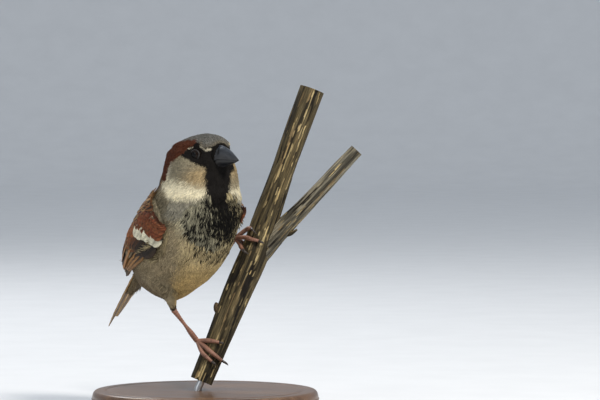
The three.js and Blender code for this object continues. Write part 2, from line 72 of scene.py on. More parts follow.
LEFT_TUCK, LEFT_SHIFT = 8, 2.6
STEM_KNOTS = [
    (-1.7, -2.8, 14, 5.0), (5.4, -1, 31.3, 5.4), (13.9, 1.1, 52.2, 6.2), (22.2, 2.9, 71.3, 6.5),
    (26.1, 4.1, 83.5, 5.8), (30.2, 5.3, 95.3, 5.1), (39.2, 7.9, 120.9, 5.4), (46.6, 10, 141, 5.5),
]
BRANCH_KNOTS = [(22.6, 3.2, 69, 5.6), (33, 3.8, 79.8, 4), (44.4, 4.5, 91.3, 3.4), (66, 6, 114.5, 3.1)]
SPUR_KNOTS = [(34.5, 3, 77.5, 1.1), (37.6, 2.4, 78.2, 0.9), (40, 2.2, 80, 0.5)]
BUD_AT, BUD_RADIUS, BUD_STRETCH = np.array([4.9, -1.6, 46]), 1.5, 1.6
ROD_RADIUS, ROD_IN_STEM, ROD_FOOT = 1.6, 12, 3
BASE_HEIGHT = 10
THIGH_RADII = ([0, 0.3, 0.6, 1], [7.0, 5.4, 3.2, 1.2])
TARSUS_RADII, TOE_RADII, CLAW_RADII = (1.6, 1.14, 0.95, 1.5, 1.5), (1.06, 1.25, 0.85), (0.8, 0.62, 0.14)
LEGS = {
    # hip and heel in the bird frame; foot, toes and claws as distance up the stem, bearing, clearance
    "right": dict(
        hip=(-7, -7, -14), heel=(-0.2, -6.5, -30.4), foot=(15.6, -82, 3.2),
        toes={
            1: ([(15.6, -112), (15.4, -142), (15.2, -172)], (15, -212, 0.1)),
            2: ([(17.2, -50), (18.1, -14), (18.5, 6)], (19, 25, 0.2)),
            3: ([(14.6, -50), (13.4, -12), (12.1, 32), (11.7, 50)], (10.8, 76, 3)),
            4: ([(11.9, -50), (10.4, -14), (9.6, 8)], (8.8, 32, 0.2)),
        },
    ),
    "left": dict(
        hip=(-10, 9, -12), heel=(-8, 16.6, -15), foot=(63.9, -95, 4),
        toes={
            1: ([(63, -118), (62.4, -146), (62, -174)], (61.4, -212, 0.1)),
            2: ([(61.6, -82), (60.6, -66), (59.8, -48)], (58.8, -20, 0.1)),
            3: ([(65.6, -60), (65.6, -28), (65.8, -2)], (65.5, 21, 0.1)),
            4: ([(69.3, -78), (70, -62), (70.3, -44)], (68.6, -17, 0.1)),
        },
    ),
}

# ------------------------------------------------------------------ numeric helpers


def smooth(a, b, x):
    t = np.clip((np.asarray(x, float) - a) / (b - a), 0, 1)
    return t * t * (3 - 2 * t)


def unit(v):
    return v / np.maximum(np.linalg.norm(v, axis=-1, keepdims=True), 1e-9)


def mix(a, b, t):
    t = np.asarray(t)[..., None]
    return np.asarray(a) * (1 - t) + np.asarray(b) * t


def bell(x):
    return np.exp(-(x**2))


def on_plane(v, normal):
    """Unit directions v laid into the planes of the normals."""
    return unit(v - normal * np.einsum("ij,ij->i", v, normal)[:, None])


def arc_length(points):
    return np.concatenate([[0], np.cumsum(np.linalg.norm(np.diff(points, axis=0), axis=1))])


def along_rows(rows, t, mirrored=None):
    """Catmull-Rom through the rows of a table, column by column, for t from 0 to 1."""
    rows = np.asarray(rows, float)
    first, last = 2 * rows[0] - rows[1], 2 * rows[-1] - rows[-2]
    if mirrored is not None:
        first, last = rows[1].copy(), rows[-2].copy()
        first[list(mirrored)] *= -1
        last[list(mirrored)] *= -1
    padded = np.vstack([first, rows, last])
    count = len(rows) - 1
    at = np.clip(t, 0, 1) * count
    i = np.minimum(at.astype(int), count - 1)
    u = (at - i)[..., None]
    a, b, c, d = (padded[i + k] for k in range(4))
    return b + 0.5 * u * (c - a + u * (2 * a - 5 * b + 4 * c - d + u * (3 * (b - c) + d - a)))


def turn_z(angle):
    c, s = math.cos(angle), math.sin(angle)
    return np.array([[c, -s, 0], [s, c, 0], [0, 0, 1]])


def turn_x(angle):
    c, s = math.cos(angle), math.sin(angle)
    return np.array([[1, 0, 0], [0, c, -s], [0, s, c]])


R_BIRD = turn_z(BIRD_HEADING)
R_HEAD = turn_z(HEAD_TURN) @ turn_x(HEAD_ROLL)


def to_world(p):
    return np.asarray(p, float) @ R_BIRD.T + BIRD_AT


def to_bird(p):
    return (np.asarray(p, float) - BIRD_AT) @ R_BIRD


def head_to_bird(p):
    return np.asarray(p, float) @ R_HEAD.T + HEAD_AT


def bird_to_head(p):
    return (np.asarray(p, float) - HEAD_AT) @ R_HEAD


def hash_noise(p, scale, seed=0):
    """Smooth value noise from -1 to 1 at points p, with cells of the given size."""
    q = np.asarray(p, float) / scale + 137.3 * (seed + 1)
    cell = np.floor(q).astype(np.int64)
    f = q - cell
    f = f * f * (3 - 2 * f)
    total = 0
    for corner in range(8):
        d = np.array([corner & 1, corner >> 1 & 1, corner >> 2 & 1])
        c = cell + d
        h = (c[..., 0] * 73856093) ^ (c[..., 1] * 19349663) ^ (c[..., 2] * 83492791) ^ (seed * 2654435)
        h = (h ^ (h >> 13)) * 1274126177 & 0x7FFFFFFF
        w = np.prod(np.where(d == 1, f, 1 - f), axis=-1)
        total = total + w * (h % 65536 / 32768 - 1)
    return total


def long_noise(p, shrink, scale, seed):
    """The same noise in cells drawn out along the third axis."""
    return hash_noise(p * np.array([1, 1, shrink]), scale, seed)


def spot_field(u, v, size, seed):
    """Distance in cells to the nearest of a jittered set of spots, and that spot's number from 0 to 1."""
    q = np.stack([u, v], -1) / size + 91.7
    cell = np.floor(q).astype(np.int64)
    nearest, lot = np.full(len(q), 9.0), np.zeros(len(q))
    for k in range(9):
        c = cell + np.array([k % 3, k // 3]) - 1
        h = (c[..., 0] * 73856093) ^ (c[..., 1] * 19349663) ^ (seed * 2654435)
        draws = []
        for turn in range(3):
            h = ((h ^ (h >> 13)) * 1274126177 + turn) & 0x7FFFFFFF
            draws.append(h // 64 % 65536 / 65536)
        d = np.linalg.norm(q - c - 0.15 - 0.7 * np.stack(draws[:2], -1), axis=-1)
        closer = d < nearest
        nearest, lot = np.where(closer, d, nearest), np.where(closer, draws[2], lot)
    return nearest, lot


class Spline:
    """A centripetal Catmull-Rom curve through points, read by its arc length from 0 to 1."""

    def __init__(self, points, samples=400):
        p = [np.array(q[:3], float) for q in points]
        p = [2 * p[0] - p[1], *p, 2 * p[-1] - p[-2]]
        u = np.linspace(0, 1, samples)[:, None]
        out = []
        for k in range(1, len(p) - 2):
            d0, d1, d2 = (p[k + j] - p[k + j - 1] for j in range(3))
            t0, t1, t2 = (max(np.linalg.norm(d) ** 0.5, 1e-4) for d in (d0, d1, d2))
            m1 = (d0 / t0 - (d0 + d1) / (t0 + t1) + d1 / t1) * t1
            m2 = (d1 / t1 - (d1 + d2) / (t1 + t2) + d2 / t2) * t1
            out.append(p[k] + u * m1 + u * u * (3 * d1 - 2 * m1 - m2) + u * u * u * (m1 + m2 - 2 * d1))
        self.line = np.vstack(out)
        self.arc = arc_length(self.line)
        self.length = self.arc[-1]

    def at(self, t):
        s = np.clip(t, 0, 1) * self.length
        return np.stack([np.interp(s, self.arc, self.line[:, k]) for k in range(3)], -1)

    def tangent(self, t):
        return unit(self.at(np.asarray(t) + 0.004) - self.at(np.asarray(t) - 0.004))


# ------------------------------------------------------------------ mesh helpers


def make_piece(
    name, points, faces, material, replaces=(), colours=None, uv=None, vane=None, grain=None
):
    """One object riding on the body. Points are in mm in the row frame; faces are rows of 3 or 4."""
    mesh = bpy.data.meshes.new(name)
    faces = np.asarray(faces, np.int32)
    count, sides = faces.shape
    mesh.vertices.add(len(points))
    mesh.vertices.foreach_set("co", (np.asarray(points) * MM).astype(np.float32).ravel())
    mesh.loops.add(count * sides)
    mesh.loops.foreach_set("vertex_index", faces.ravel())
    mesh.polygons.add(count)
    mesh.polygons.foreach_set("loop_start", np.arange(0, count * sides, sides, dtype=np.int32))
    mesh.polygons.foreach_set("use_smooth", np.full(count, True))
    mesh.update(calc_edges=True)
    if colours is not None:
        layer = mesh.attributes.new("coat", "FLOAT_COLOR", "POINT")
        rgba = np.ones((len(points), 4), np.float32)
        rgba[:, :3] = np.clip(colours, 0, 1)
        layer.data.foreach_set("color", rgba.ravel())
    for layer_name, values in (("OFBake", uv), ("vane", vane)):
        if values is not None:
            layer = mesh.uv_layers.new(name=layer_name)
            layer.data.foreach_set("uv", np.asarray(values, np.float32)[faces.ravel()].ravel())
    if grain is not None:
        layer = mesh.attributes.new("grain", "FLOAT_VECTOR", "POINT")
        layer.data.foreach_set("vector", grain.astype(np.float32).ravel())
    mesh.materials.append(material)
    piece = bpy.data.objects.new(name, mesh)
    bpy.context.scene.collection.objects.link(piece)
    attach(piece, "root")
    if replaces:
        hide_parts(*replaces)


def grid_faces(rows, cols, wrap=False):
    r, c = np.meshgrid(np.arange(rows - 1), np.arange(cols if wrap else cols - 1), indexing="ij")
    a = r * cols + c
    b = r * cols + (c + 1) % cols
    return np.stack([a, b, b + cols, a + cols], -1).reshape(-1, 4).astype(np.int32)


def quads_to_tris(quads):
    return np.vstack([quads[:, [0, 1, 2]], quads[:, [0, 2, 3]]])


def outward(points, tris):
    """The closed shape and its triangles, which are flipped if it is inside out."""
    a, b, c = (points[tris[:, k]] - points.mean(0) for k in range(3))
    volume = np.einsum("ij,ij->i", a, np.cross(b, c)).sum()
    return points, tris if volume > 0 else tris[:, ::-1]


def closed_tube(points):
    """Points and triangles of a ring grid (rows, cols, 3) with pinched ends."""
    rows, cols = points.shape[:2]
    k = np.arange(cols)
    start, end, last_ring = rows * cols + 0 * k, rows * cols + 1 + 0 * k, (rows - 1) * cols
    first = np.stack([start, (k + 1) % cols, k], -1)
    last = np.stack([end, last_ring + k, last_ring + (k + 1) % cols], -1)
    points = np.vstack([points.reshape(-1, 3), points[0].mean(0), points[-1].mean(0)])
    return outward(points, np.vstack([quads_to_tris(grid_faces(rows, cols, wrap=True)), first, last]))


def closed_slab(top, bottom):
    """Points and triangles of the closed shell between two grids of the same size."""
    rows, cols = top.shape[:2]
    n = rows * cols
    upper = grid_faces(rows, cols)
    index = np.arange(n).reshape(rows, cols)
    loop = np.concatenate([index[0, :-1], index[:-1, -1], index[-1, :0:-1], index[:0:-1, 0]])
    ahead = np.roll(loop, -1)
    rim = np.stack([ahead, loop, loop + n, ahead + n], -1)
    points = np.vstack([top.reshape(-1, 3), bottom.reshape(-1, 3)])
    return outward(points, quads_to_tris(np.vstack([upper, upper[:, ::-1] + n, rim])))


def tube(centres, radii, around=16):
    """Ring grid of a tube along a polyline, whose side vectors don't twist."""
    t = unit(np.gradient(centres, axis=0))
    side = np.zeros_like(t)
    side[0] = unit(np.cross(t[0], [0, 0, 1.0] if abs(t[0, 2]) < 0.9 else [1.0, 0, 0]))
    for k in range(1, len(t)):
        side[k] = unit(side[k - 1] - t[k] * (side[k - 1] @ t[k]))
    up = np.cross(t, side)
    a = np.linspace(0, 2 * np.pi, around, endpoint=False)[None, :, None]
    r = np.asarray(radii, float)[:, None, None]
    return centres[:, None] + r * (np.cos(a) * side[:, None] + np.sin(a) * up[:, None])


def ring_uv(t, cols, margin):
    """Bake map of a closed tube: along it and round it, with its two ends."""
    uv = np.stack([np.repeat(t, cols), np.tile(np.arange(cols) / cols, len(t))], -1)
    return np.vstack([uv, [[0, 0.5], [1, 0.5]]]) * (1 - 2 * margin) + margin


# ------------------------------------------------------------------ the bird's surfaces, in the bird frame


def body_point(t, a, out=0.0):
    """The plumage's surface from crown to vent and round by bearing, or one that is out mm from it."""
    t, a = np.broadcast_arrays(np.asarray(t, float), np.asarray(a, float))
    row = along_rows(BODY_SLICES, t, (3, 4, 5))
    height, cx, cy, ahead, behind, half, turn, square = np.moveaxis(row, -1, 0)
    bearing = np.abs(np.degrees(a))
    proud = np.zeros_like(height) + out
    for rise, level, spread, at, arc in FACE:
        off = (bearing - at) ** 2 / (2 * arc**2) + (height - level) ** 2 / (2 * spread**2)
        proud += rise * np.exp(-off)
    ring = np.where((t > 1e-6) & (t < 1 - 1e-6), 1.0, 0.0)

    def corner(part):
        return ring * np.sign(part) * np.abs(part) ** (2 / square)

    x = (np.where(np.cos(a) > 0, ahead, behind) + proud) * corner(np.cos(a))
    y = (half + proud) * corner(np.sin(a))
    c, s = np.cos(np.radians(turn)), np.sin(np.radians(turn))
    return np.stack([x * c - y * s + cx, x * s + y * c + cy, height + out * np.cos(np.pi * t)], -1)


def along_tail(along, across, up):
    """From the tail's own twisted frame to the bird frame."""
    along, across, up = np.broadcast_arrays(*(np.asarray(v, float) for v in (along, across, up)))
    twist = TAIL_TWIST[0] + (TAIL_TWIST[1] - TAIL_TWIST[0]) * along / TAIL["length"]
    x = -along
    y = across * np.cos(twist) - up * np.sin(twist)
    z = across * np.sin(twist) + up * np.cos(twist)
    c, s = math.cos(-TAIL["pitch"]), math.sin(-TAIL["pitch"])
    return np.stack([x * c + z * s + TAIL["x"], y, -x * s + z * c + TAIL["z"]], -1)


def tail_root(k, b):
    """The skin round the tail's root, k down the tail and b round it, and the way its coverts point."""
    down, wide, deep = np.moveaxis(along_rows(TAIL_COVERTS, k), -1, 0)
    at = along_tail(down * 0.93, np.cos(b) * (wide - 0.8), np.sin(b) * (deep - 0.7) - 0.8)
    ahead = along_tail(down + 5, np.cos(b) * wide * 0.8, np.sin(b) * deep * 0.8 - 0.6)
    return at, unit(ahead - at)


def wing_point(s, t, side="right"):
    """The folded wing's outer surface: s from shoulder to tip, t from its lower edge to its upper one."""
    s, t = np.broadcast_arrays(np.asarray(s, float), np.asarray(t, float))
    lower, middle, upper = (along_rows(rail, s) for rail in WING_RAILS)
    if side == "left":
        tuck = LEFT_TUCK * np.exp(-((s - 0.22) ** 2) / (2 * 0.24**2))
        lower = lower + np.array([0, 0, 1]) * tuck[..., None]
    a, b, c = (t - 0.5) * (t - 1) * 2, t * (1 - t) * 4, t * (t - 0.5) * 2
    p = lower * a[..., None] + middle * b[..., None] + upper * c[..., None]
    if side == "left":
        p = p * np.array([1, -1, 1])
        p[..., 1] += LEFT_SHIFT * np.maximum(0, 1 - 2 * s)
    return p


def wing_frame(s, t, side):
    """Unit directions towards the wing tip, towards the back and outwards."""
    e = 0.01
    ds = wing_point(np.minimum(s + e, 1), t, side) - wing_point(np.maximum(s - e, 0), t, side)
    dt = wing_point(s, t + e, side) - wing_point(s, t - e, side)
    return unit(ds), unit(dt), unit(np.cross(dt, ds)) * (-1 if side == "left" else 1)


# ------------------------------------------------------------------ materials

SOCKETS = dict(
    roughness="Roughness", gloss="Specular IOR Level", metallic="Metallic",
    coat="Coat Weight", coat_roughness="Coat Roughness",
)
MIX_FACTOR, MIX_A, MIX_B, MIX_RESULT = 0, 6, 7, 2  # the colour sockets of a Mix node


class Look:
    """A node material. Each method adds a node and returns its output socket."""

    def __init__(self, name, **settings):
        self.material = bpy.data.materials.new(name)
        self.material.use_nodes = True
        self.nodes, self.links = self.material.node_tree.nodes, self.material.node_tree.links
        self.shader = self.nodes["Principled BSDF"]
        for setting, value in settings.items():
            self.shader.inputs[SOCKETS[setting]].default_value = value
        self.place = self.nodes.new("ShaderNodeTexCoord").outputs["Object"]

    def attribute(self, name, output="Color"):
        node = self.nodes.new("ShaderNodeAttribute")
        node.attribute_name = name
        return node.outputs[output]

    def texture(self, kind, vector, **inputs):
        node = self.nodes.new("ShaderNodeTex" + kind)
        for name, value in inputs.items():
            node.inputs[name].default_value = value
        self.links.new(vector, node.inputs["Vector"])
        return node

    def noise(self, scale, detail=4, rough=0.55, stretch=None, vector=None):
        vector = self.place if vector is None else vector
        if stretch is not None:
            mapping = self.nodes.new("ShaderNodeMapping")
            mapping.inputs["Scale"].default_value = stretch
            self.links.new(vector, mapping.inputs["Vector"])
            vector = mapping.outputs["Vector"]
        return self.texture("Noise", vector, Scale=scale, Detail=detail, Roughness=rough).outputs["Fac"]

    def ramp(self, source, *stops):
        """A colour ramp; a stop's colour may be one number, for a grey."""
        node = self.nodes.new("ShaderNodeValToRGB")
        for k, (position, colour) in enumerate(stops):
            elements = node.color_ramp.elements
            element = elements[k] if k < 2 else elements.new(position)
            element.position = position
            element.color = (*(colour if isinstance(colour, tuple) else (colour,) * 3), 1)
        self.links.new(source, node.inputs["Fac"])
        return node.outputs["Color"]

    def multiply(self, a, b, factor=1.0):
        node = self.nodes.new("ShaderNodeMix")
        node.data_type, node.blend_type = "RGBA", "MULTIPLY"
        node.inputs[MIX_FACTOR].default_value = factor
        self.links.new(a, node.inputs[MIX_A])
        self.links.new(b, node.inputs[MIX_B])
        return node.outputs[MIX_RESULT]

    def finish(self, colour, roughness=None, bump=None):
        """Links the shader: bump is a height, its strength and its distance in metres."""
        self.links.new(colour, self.shader.inputs["Base Color"])
        if roughness is not None:
            self.links.new(roughness, self.shader.inputs["Roughness"])
        if bump is not None:
            node = self.nodes.new("ShaderNodeBump")
            self.links.new(bump[0], node.inputs["Height"])
            node.inputs["Strength"].default_value, node.inputs["Distance"].default_value = bump[1:]
            self.links.new(node.outputs["Normal"], self.shader.inputs["Normal"])
        return self.material


def feather_material(name, roughness, gloss, barbs=True):
    """Painted by the marking attribute, broken up by fine noise, with barbs where the piece has vanes."""
    look = Look(name, roughness=roughness, gloss=gloss)
    height = look.noise(1400, 3)
    shade = look.ramp(height, (0.25, 0.72), (0.75, (1.22, 1.2, 1.16)))
    colour = look.multiply(look.attribute("coat"), shade)
    if barbs:
        uv = look.nodes.new("ShaderNodeUVMap")
        uv.uv_map = "vane"
        wave = look.texture("Wave", uv.outputs["UV"], Scale=1.0, Distortion=0.6, Detail=1.5)
        wave.wave_type, wave.bands_direction = "BANDS", "Y"
        height = wave.outputs["Fac"]
        colour = look.multiply(colour, look.ramp(height, (0.1, 0.8), (0.9, 1.08)), 0.8)
    return look.finish(colour, bump=(height, 0.35, 0.00012))


def horn_material():
    look = Look("bill_horn", gloss=0.42)
    growth = look.noise(900, 5, 0.6)
    shade = look.ramp(growth, (0.3, (0.62, 0.64, 0.68)), (0.72, (1.4, 1.38, 1.34)))
    rough = look.ramp(growth, (0.3, 0.3), (0.8, 0.46))
    return look.finish(look.multiply(look.attribute("coat"), shade), rough, (growth, 0.25, 0.0002))


def eye_material():
    look = Look("eye", roughness=0.07, gloss=0.15)
    fibres = look.ramp(look.noise(2600, 3), (0.3, 0.6), (0.7, 1.3))
    return look.finish(look.multiply(look.attribute("coat"), fibres))


def leg_material():
    look = Look("leg_skin", roughness=0.48, gloss=0.45)
    cells = look.texture("Voronoi", look.place, Scale=1500).outputs["Distance"]
    blotch = look.ramp(look.noise(420), (0.3, (0.68, 0.64, 0.62)), (0.7, (1.25, 1.2, 1.15)))
    return look.finish(look.multiply(look.attribute("coat"), blotch), bump=(cells, 0.5, 0.0001))


def bark_material():
    look = Look("bark", roughness=0.85, gloss=0.25)
    grain = look.attribute("grain", "Vector")
    fibre = look.noise(1.0, 8, 0.7, (2.4, 2.4, 0.09), grain)
    streak = look.ramp(
        fibre, (0.36, (0.3, 0.28, 0.25)), (0.52, 0.95), (0.62, (1.5, 1.42, 1.25)), (0.7, (2.6, 2.35, 1.9))
    )
    stain = look.noise(1.0, 6, 0.65, (0.35, 0.35, 0.05), grain)
    dirt = look.ramp(stain, (0.4, 1), (0.62, (0.62, 0.58, 0.52)))
    colour = look.multiply(look.multiply(look.attribute("coat"), streak), dirt, 0.8)
    return look.finish(colour, bump=(fibre, 1.0, 0.0005))


def walnut_material():
    look = Look("base_wood", coat=0.25, coat_roughness=0.2)
    grain = look.noise(1.0, 8, 0.62, (14, 160, 160))
    pores = look.noise(1.0, 3, 0.5, (90, 2600, 2600))
    wood = look.ramp(
        grain, (0.28, (0.055, 0.026, 0.012)), (0.5, (0.13, 0.066, 0.032)), (0.75, (0.22, 0.125, 0.064))
    )
    colour = look.multiply(wood, look.ramp(pores, (0.42, (0.45, 0.42, 0.4)), (0.5, 1)), 0.75)
    return look.finish(colour, look.ramp(grain, (0.3, 0.3), (0.8, 0.46)), (pores, 0.15, 0.0001))


def steel_material():
    look = Look("rod_steel", metallic=1.0)
    scratch = look.noise(1.0, 4, 0.6, (3000, 3000, 160))
    tint = look.ramp(scratch, (0.3, (0.42, 0.42, 0.43)), (0.7, (0.66, 0.66, 0.65)))
    return look.finish(tint, look.ramp(scratch, (0.3, 0.26), (0.7, 0.4)))


def floor_material():
    look = Look("studio_floor", roughness=0.8)
    return look.finish(look.ramp(look.noise(30), (0.3, (0.66, 0.67, 0.69)), (0.7, (0.69, 0.7, 0.72))))


SOFT = feather_material("plumage", 0.85, 0.12, barbs=False)
VANED = feather_material("wing_feathers", 0.65, 0.2)
VANED_TAIL = feather_material("tail_feathers", 0.6, 0.22)
HORN, GLOSS, SCALY, BARK = horn_material(), eye_material(), leg_material(), bark_material()

# ------------------------------------------------------------------ markings


def rgb(*channels):
    return np.array(channels)


CROWN, CROWN_DARK = rgb(0.215, 0.21, 0.19), rgb(0.05, 0.048, 0.043)
CHESTNUT, CHESTNUT_DARK = rgb(0.12, 0.034, 0.014), rgb(0.045, 0.0135, 0.006)
CHEEK, CHEEK_BUFF, CREAM = rgb(0.215, 0.188, 0.13), rgb(0.34, 0.255, 0.14), rgb(0.64, 0.58, 0.42)
PALE, BLACK = rgb(0.5, 0.45, 0.34), rgb(0.0035, 0.003, 0.0025)
LAVENDER, BREAST = rgb(0.205, 0.19, 0.148), rgb(0.33, 0.29, 0.19)
BELLY, OCHRE, VENT = rgb(0.43, 0.345, 0.19), rgb(0.47, 0.34, 0.15), rgb(0.3, 0.25, 0.16)
FLANK, SIDE_GREY = rgb(0.225, 0.18, 0.11), rgb(0.15, 0.128, 0.085)
RUMP, MANTLE_EDGE, MANTLE_BROWN = rgb(0.15, 0.115, 0.07), rgb(0.42, 0.27, 0.13), rgb(0.14, 0.07, 0.032)


class Paint:
    """Centre and edge colours of the feathers at some points, and how spotted they look."""

    def __init__(self, centre):
        self.centre, self.edge, self.spots = centre, centre * 1.35, np.zeros(len(centre))

    def lay(self, mask, centre, edge, spots=None, rim=None):
        """Paints over what is there where the mask is 1; rim is a mask of its own for the edges."""
        self.centre = mix(self.centre, centre, mask)
        self.edge = mix(self.edge, edge, mask if rim is None else rim)
        if spots is not None:
            self.spots = self.spots * (1 - mask) + spots * mask


def bearing(p):
    """Degrees round the body's own axis, 0 ahead, at points of the bird frame."""
    cx = np.interp(p[:, 2], [-17, -2, 8, 17, 24, 40], [-11.5, -3, 2.2, 5, 5.4, 7])
    cy = np.interp(p[:, 2], [-20, 8, 24], [0, 0.6, 3])
    return np.degrees(np.arctan2(p[:, 1] - cy, p[:, 0] - cx))


def near_segment(x, z, a, b):
    """Distance in the side view of the head from a short line."""
    a, b = np.array(a, float), np.array(b, float)
    d = b - a
    t = np.clip(((x - a[0]) * d[0] + (z - a[1]) * d[1]) / (d @ d), 0, 1)
    return np.hypot(x - a[0] - t * d[0], z - a[1] - t * d[1])


def bib_limits(bz):
    """The black bib's middle and half width at a height."""
    middle = np.interp(bz, [-3, 2, 6, 12, 17, 23, 27, 31, 36], [5.5, 6, 5.2, 2, 0.6, 2.2, 3, 4.6, 5])
    half = np.interp(
        bz, [-3, 0, 2, 6, 12, 17, 23, 27, 31, 36], [0.1, 3.4, 5.4, 6.6, 5.2, 5.2, 5.8, 6.5, 7.2, 7.6]
    )
    return middle, half


def paint_underparts(coat, p, j, around):
    bx, by, bz = p.T
    side = np.abs(by - 0.5)
    limit = np.interp(bz, [-25, -12, -4, 5, 12], [5.5, 10.5, 12.5, 15, 18])
    coat.lay(smooth(-1.5, 2.5, side - limit + j), FLANK, FLANK * 1.5)
    coat.lay(smooth(70, 100, around) * (bz < 14), FLANK * 0.9, FLANK * 1.3)
    vent = smooth(-14, -20, bx + 0.4 * bz + 6 + j) * smooth(-12, -18, bz) * (bx < -8)
    coat.lay(vent, VENT, VENT * 1.25)
    coat.lay(smooth(7, 10, bz + j) * smooth(5, 9, side), LAVENDER, LAVENDER * 1.5)
    slant = np.stack([bx * 0.35 - 0.5 * bz, by, 0.25 * bz], -1)
    fine = (hash_noise(slant, 0.9, 21) + 0.7 * hash_noise(slant * 0.4, 1.0, 22))[:, None]
    rough = 1 + 0.9 * (smooth(2, 8, bz) * smooth(6, 11, side))[:, None]
    coat.centre = coat.centre * (1 - 0.3 * rough * fine)
    coat.edge = coat.edge * (1 - 0.18 * rough * fine)
    coat.lay(smooth(62, 72, around + 2 * j) * smooth(6, 11, bz + j), SIDE_GREY * 0.55, SIDE_GREY * 1.9, 0.55)


def paint_gorget(coat, p, j):
    """The speckles below the bib, and the fine dark streaks below them."""
    bx, by, bz = p.T
    oval = np.hypot((by - 1.5 + 0.8 * j) / 14.4, (bz - 7.5 + j) / 11.8)
    speckle = smooth(1.1, 0.82, oval) * (bx > 4)
    turned = np.arctan2(by - 0.6, bx - np.interp(bz, [-10, 8, 24], [-8, 2, 5])) * 21
    near, lot = spot_field(turned, bz * 0.8, 2.2, 7)
    reach = (0.26 + 0.3 * lot) * (0.62 + 0.75 * smooth(1.05, 0.4, oval))
    dark = 0.8 * smooth(0.1, -0.1, near - reach) * speckle
    pale = mix((0.34, 0.31, 0.22), (0.46, 0.39, 0.23), smooth(-3, 8, by))
    coat.lay(0.8 * speckle, pale, pale * 1.25)
    coat.lay(dark, BLACK, BLACK, rim=0.5 * dark)
    coat.spots = np.maximum(coat.spots * (1 - speckle), 0.5 * speckle)
    streak = smooth(0.3, 0.5, long_noise(p, 0.2, 0.95, 12)) * smooth(6, 1, bz) * smooth(-20, -10, bz)
    streak = streak * smooth(17, 12, np.abs(by - 0.5)) * (1 - speckle)
    coat.lay(0.85 * streak, (0.05, 0.034, 0.018), (0.08, 0.055, 0.028), rim=0.75 * streak)


def paint_neck(coat, bz, x, z, j, around):
    """The pale band below the cheek, and the cheek."""
    low = np.interp(around, [20, 30, 45, 60, 76, 107, 125], [19.5, 17.2, 17.4, 17, 19.2, 23.4, 25])
    coat.lay(smooth(-0.9, 0.9, bz - low + 1.2 * j) * (around < 118), CREAM, CREAM * 1.15, 0)
    top = np.interp(around, [20, 31, 61, 91, 110], [21.8, 22.2, 24.4, 26, 27])
    warm = np.exp(-((x - 8) ** 2) / 30 - (z + 7.5) ** 2 / 22)
    tone = mix(mix(CHEEK, (0.2, 0.175, 0.115), smooth(-3, 3, z)), CHEEK_BUFF, np.clip(1.1 * warm, 0, 1))
    tone = mix(tone, (0.42, 0.38, 0.29), 0.8 * smooth(-4.8, -7.6, x) * (x > -9.5))
    coat.lay(smooth(-2.2, 2.2, bz - top + 1.6 * j), tone, tone * 1.45)


def paint_upperparts(coat, bz, x, y, z, j, around):
    """Mantle and rump, the chestnut side of the nape and the grey crown. Returns the brow line's height."""
    back = smooth(104, 116, around + 3 * j) * smooth(29, 26, bz + j)
    rump = smooth(6, -2, bz)
    coat.lay(back, mix((0.02, 0.014, 0.009), RUMP * 0.8, rump), mix(MANTLE_EDGE, RUMP * 1.4, rump), 0.9)
    floor_z = np.interp(
        x, [-22, -9.4, -8.4, -7, -2.7, -1.3, 1, 3.8, 4.4], [-10.5, -9, -3.6, -1.2, 1.5, 2.5, 4.9, 6.0, 6.6]
    )
    coat.lay(smooth(-0.3, 0.3, z - floor_z + 0.4 * j) * (x < 4.4), CHESTNUT_DARK, CHESTNUT, 0)
    reach = np.interp(x, [-15, -12, -9, -6, -3, 12], [0, 2.4, 4.8, 7.4, 10.5, 12])
    brow = np.interp(
        x, [-15, -9, -6, -2.5, 2.6, 4.1, 4.7, 5.9, 7, 9], [2, 5.4, 7.4, 8.0, 8.3, 7.4, 7.1, 6.5, 4.7, 4.6]
    )
    brow = brow + (5.7 - 0.09 * y**2 - brow) * smooth(9.0, 9.6, x)
    crown = smooth(-0.5, 0.5, reach - np.abs(y) + 0.6 * j) * smooth(-0.3, 0.3, z - brow + 0.4 * j)
    spots = np.maximum(coat.spots * (1 - crown), 0.75 * crown)
    tint = mix(CROWN, (0.2, 0.165, 0.115), 0.75 * smooth(2.0, 0.3, z - brow) * smooth(4.5, 6, x))
    coat.lay(crown, CROWN_DARK, tint)
    coat.spots = spots
    return brow


def paint_mask(coat, p, x, y, z, j, brow):
    """The black mask, bib and chin, and the pale marks behind, above and before the eye."""
    bx, by, bz = p.T
    under = np.interp(x, [-1.4, 0.3, 2.7, 5, 7.2, 8.9, 9.7, 10.5], [2.6, 1.4, 0.4, -1, -2.2, -3.4, -5, -7])
    over = np.minimum(np.interp(x, [-1.4, -0.6, 1.1, 3.6, 4.4, 4.8], [2.6, 3.3, 4.9, 6.2, 7.2, 7.6]), brow)
    mask = smooth(-0.3, 0.3, z - under + 0.45 * j) * smooth(-0.25, 0.25, over - z - 0.3 * j) * (x > -1.4)
    middle, half = bib_limits(bz)
    bib = smooth(-0.5, 0.6, half - np.abs(by - middle) + 0.7 * j) * (bx > 8)
    bib = bib * smooth(36.5, 35.5, bz) * smooth(-2.4, -0.8, bz + 0.7 * j)
    chin = smooth(8.7, 9.5, x + 0.15 * j) * smooth(-0.2, 0.3, brow - z) * smooth(-9, -7, z)
    coat.lay(np.maximum(np.maximum(mask, bib), chin), BLACK, (0.011, 0.009, 0.008), 0)

    line = near_segment(x, z, (1.5, 5.0), (3.1, 5.2)) - 0.24
    line = np.minimum(line, near_segment(x, z, (5.8, 6.0), (6.3, 5.0)) - 0.12)
    line = np.minimum(line, near_segment(x, z, (6.3, 5.0), (7.2, 3.8)) - 0.2)
    patch = np.hypot((x - 8.25) / 1.05, (z - 3.6 - 0.1 * (x - 8.25)) / 0.58)
    pale = np.maximum(smooth(0.1, -0.1, line + 0.06 * j), smooth(1.12, 0.88, patch + 0.06 * j))
    coat.lay(pale * (np.abs(y) > 2.9), PALE, PALE * 1.2)


